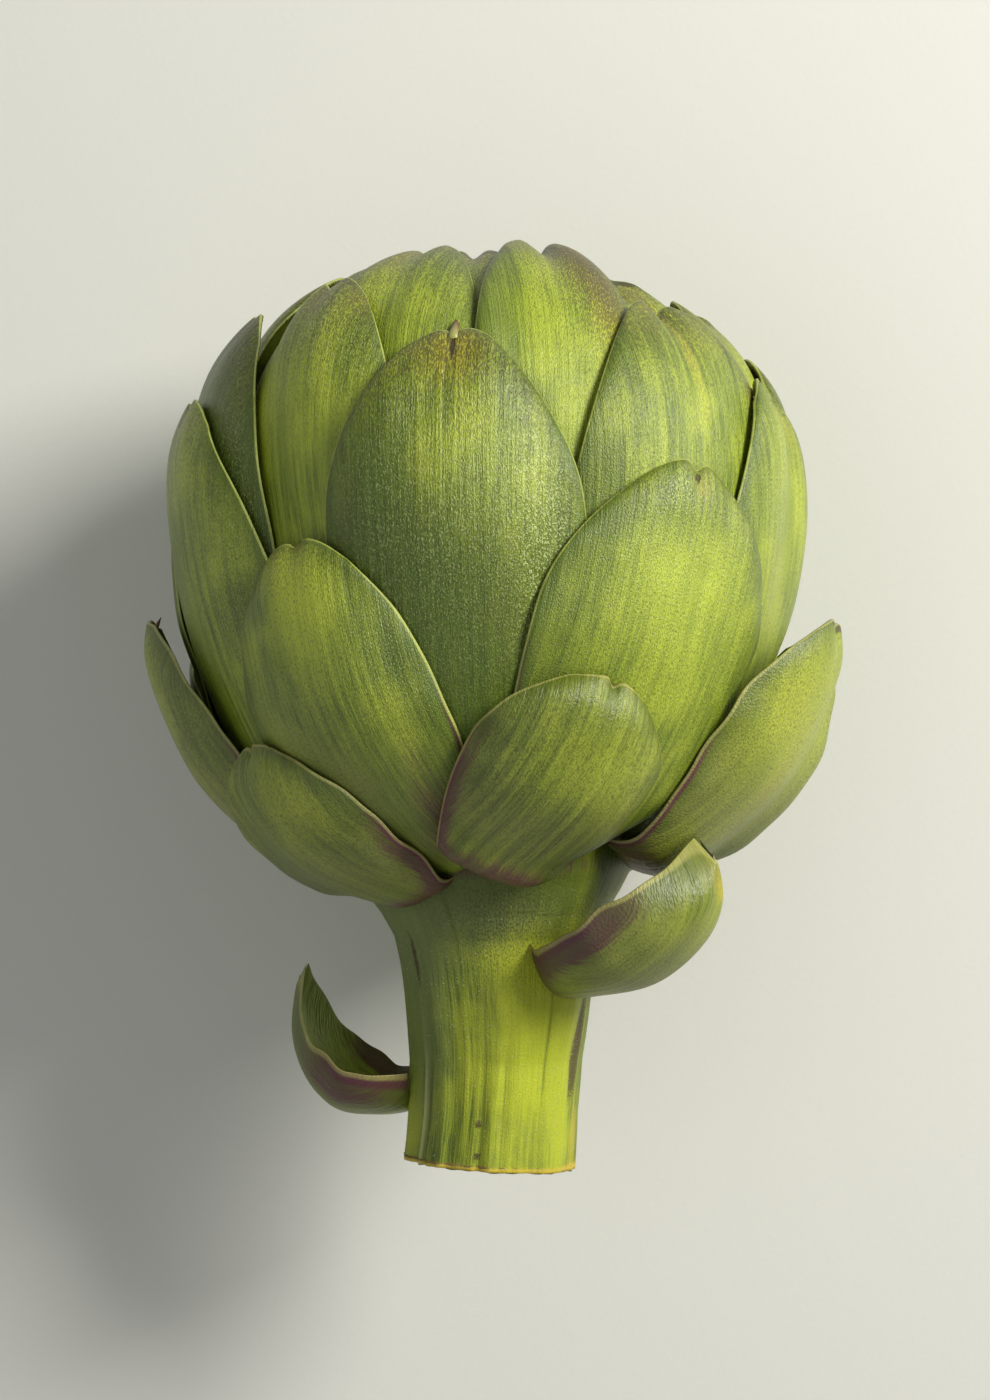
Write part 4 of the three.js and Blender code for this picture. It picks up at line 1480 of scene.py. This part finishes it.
    def build(self) -> list[bpy.types.Object]:
        """Builds and dresses the stem.

        Returns:
            The skin, the cut face and the hairs.
        """
        skin = self.build_skin(StemSkin().material())
        cut = self.build_cut(CutFlesh().material())
        hair_finish = Fluff("down", paint(226, 226, 196), paint(186, 186, 120)).material()
        hairs = Down().tree(hair_finish).run(skin, "stem_down")
        for piece in (skin, cut, hairs):
            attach(piece, "root")
        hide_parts("stem")
        return [skin, cut, hairs]


@dataclass(frozen=True)
class Bud:
    """The closed heart of the head: a smooth core with small pale scales over its top."""

    rings: int = 60
    sides: int = 96
    dip: float = 5.0
    rib: float = 0.012
    rib_count: int = 13
    scale_length: float = 24.0
    scale_half: float = 8.5
    scale_corner: float = 3.2
    scale_cup: float = 2.4
    scale_hood: float = 1.6
    scale_nick: float = 0.7
    scale_thickness: float = 0.7
    scales_below_top: float = 3.6
    pattern: Spiral = Spiral()

    LAID = (400, 900)
    DIPPED = (0.32, 0.05)
    SCALE_GRID = (11, 9)
    SCALE_RIM = 0.1

    def lay(self, mould: Mould) -> None:
        """Lays the core's plain outline.

        Args:
            mould: what it is added to.
        """
        rows, columns = self.LAID
        share, az = np.linspace(0, 1, rows)[:, None], np.linspace(0, 2 * math.pi, columns)[None, :]
        mould.lay(heading(az, share * HEAD.core_reach) * HEAD.core_radius(share)[..., None])

    def build_core(self, finish: bpy.types.Material) -> bpy.types.Object:
        """The core, ribbed, and sunk a little under the scales.

        Args:
            finish: its material.

        Returns:
            The object.
        """
        share = np.linspace(0.0, 1.0, self.rings + 1)[1:, None]
        az = np.arange(self.sides)[None, :] * 2 * math.pi / self.sides
        psi = share * HEAD.core_reach
        sunk = self.dip * smooth_step(share, *self.DIPPED)
        ribs = 1 + self.rib * np.cos(self.rib_count * az) * np.sin(psi)
        points = heading(az, psi) * ((HEAD.core_radius(share) - sunk) * ribs)[..., None]
        faces, cell = ring_faces(self.rings, self.sides)
        first = cell[0].tolist()
        faces.append(tuple(cell[-1].tolist()))
        faces += [(cell.size, first[(k + 1) % self.sides], first[k]) for k in range(self.sides)]
        sheet = Sheet(np.vstack([points.reshape(-1, 3), [[0, HEAD.core_top - self.dip, 0]]]), faces)
        sheet.face_outwards()
        return sheet.make("bud_core", finish)

    def scale_piece(self, finish: bpy.types.Material) -> bpy.types.Object:
        """One small hooded scale that lies along +Y.

        Args:
            finish: its material.

        Returns:
            A helper object at the origin, in metres.
        """
        rows, columns = self.SCALE_GRID
        w, t = np.linspace(0, 1, rows)[:, None], np.linspace(-1, 1, columns)[None, :]
        x = t * (self.scale_half * np.sqrt(1 - ((w - 0.45) / 0.62) ** 2))
        y = self.scale_length * (w - 1) - self.scale_corner * t * t * w**4
        z = (-(y**2) / (2 * self.pattern.dome_mm) - self.scale_cup * t * t - self.scale_hood * w**8
             - self.scale_nick * np.exp(-((t / 0.18) ** 2)) * w**6)
        outer = np.stack(np.broadcast_arrays(x, y, z), -1)
        sheet, ring = closed_shell(outer, outer - [0, 0, self.scale_thickness], self.SCALE_RIM)
        sheet.face_outwards()
        u, v = (grid.ravel() for grid in np.broadcast_arrays(t, w))
        middle = 1 - np.abs(u)
        edge = np.minimum(middle * 7, (1 - v) * self.scale_length)
        # Painted light: each scale is painted lighter towards its tip.
        numbers = {"across": x.ravel(), "along": v * self.scale_length, "share": v, "edge": edge,
                   "middle": middle, "flecks": 0.5 * v, "purple": 0.55 * v**6, "gold": 0.35 * v**3,
                   "lit": 0.5 * v}
        sheet.numbers = {name: np.concatenate([n, n, n[ring]]) for name, n in numbers.items()}
        made = sheet.make("scale_pattern", finish)
        made.data.transform(Matrix.Translation(-Vector(HEAD.placed(np.zeros(3)))))
        return made

    def build(self) -> list[bpy.types.Object]:
        """Builds and dresses the bud.

        Returns:
            The core and its scales.
        """
        finish = Fluff("bud_heart", paint(196, 204, 116), paint(160, 176, 78), 0.5).material()
        core = self.build_core(finish)
        skin = BractSkin("bud_scale_skin", deep=paint(104, 128, 46)).material()
        pattern = self.scale_piece(skin)
        scales = self.pattern.tree(skin).run(pattern, "bud_scales")
        top = HEAD.placed(np.array([0.0, HEAD.core_top - self.scales_below_top, 0.0]))
        scales.data.transform(Matrix.Translation(Vector(top)))
        bpy.data.objects.remove(pattern)
        for piece in (core, scales):
            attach(piece, "root")
        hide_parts("inner_bud")
        return [core, scales]


# --- Studio ---


@dataclass(frozen=True)
class Lamp:
    """A soft square lamp: its place and side in metres, its watts and its colour."""

    name: str
    place: Triple
    size: float
    power: float
    colour: Triple

    AIM = (0, 0, 0.05)

    def hang(self) -> None:
        """Adds the lamp, faced to the artichoke."""
        light = bpy.data.lights.new(self.name, "AREA")
        light.size, light.energy, light.color = self.size, self.power, self.colour
        lamp = linked(self.name, light)
        lamp.location = self.place
        aim = Vector(self.AIM) - Vector(self.place)
        lamp.rotation_euler = aim.to_track_quat("-Z", "Y").to_euler()


@dataclass(frozen=True)
class Studio:
    """The floor, the lights and the camera that looks straight down.

    Lengths are in metres, but the lens and its sensor are in millimetres.
    """

    camera: Triple = (0.00046, 0.0010, 0.786)
    lens: float = 110.0
    sensor: float = 36.0
    near: float = 0.01
    floor_half: float = 4.0
    floor_z: float = -0.0002
    world_strength: float = 0.22
    lamps: tuple[Lamp, ...] = (
        Lamp("key", (0.70, 0.46, 0.66), 0.42, 12.8, (1.0, 0.98, 0.93)),
        Lamp("fill", (-0.5, -0.2, 0.9), 0.9, 12.8 * 0.12, (0.95, 0.98, 1.0)),
    )

    def lay_floor(self) -> None:
        """Lays the floor, a little below the part."""
        mesh = bpy.data.meshes.new("floor")
        corners = [(x * self.floor_half, y * self.floor_half, self.floor_z)
                   for x, y in ((-1, -1), (1, -1), (1, 1), (-1, 1))]
        mesh.from_pydata(corners, [], [(0, 1, 2, 3)])
        mesh.materials.append(FloorPaper().material())
        linked("floor", mesh)

    def build(self) -> None:
        """Sets the stage, the lights and the camera."""
        self.lay_floor()
        for lamp in self.lamps:
            lamp.hang()
        scene = bpy.context.scene
        scene.world = bpy.data.worlds.new("room")
        scene.world.use_nodes = True
        colour, strength = scene.world.node_tree.nodes["Background"].inputs[:2]
        colour.default_value = (1.0, 1.0, 1.0, 1.0)
        strength.default_value = self.world_strength
        scene.view_settings.view_transform = "Standard"
        data = bpy.data.cameras.new("camera")
        data.lens, data.sensor_width, data.clip_start = self.lens, self.sensor, self.near
        scene.camera = linked("camera", data)
        scene.camera.location = self.camera


def main() -> None:
    """Builds the whole artichoke and reports each piece."""
    logging.basicConfig(level=logging.INFO, format="%(name)s: %(message)s")
    bud = Bud()
    mould = Mould()
    bud.lay(mould)
    made = bud.build() + Leaves(mould).build() + Stem().build()
    for piece in made:
        log.info("%s: %d faces", piece.name, len(piece.data.polygons))
    Studio().build()


if __name__ == "__main__":
    main()
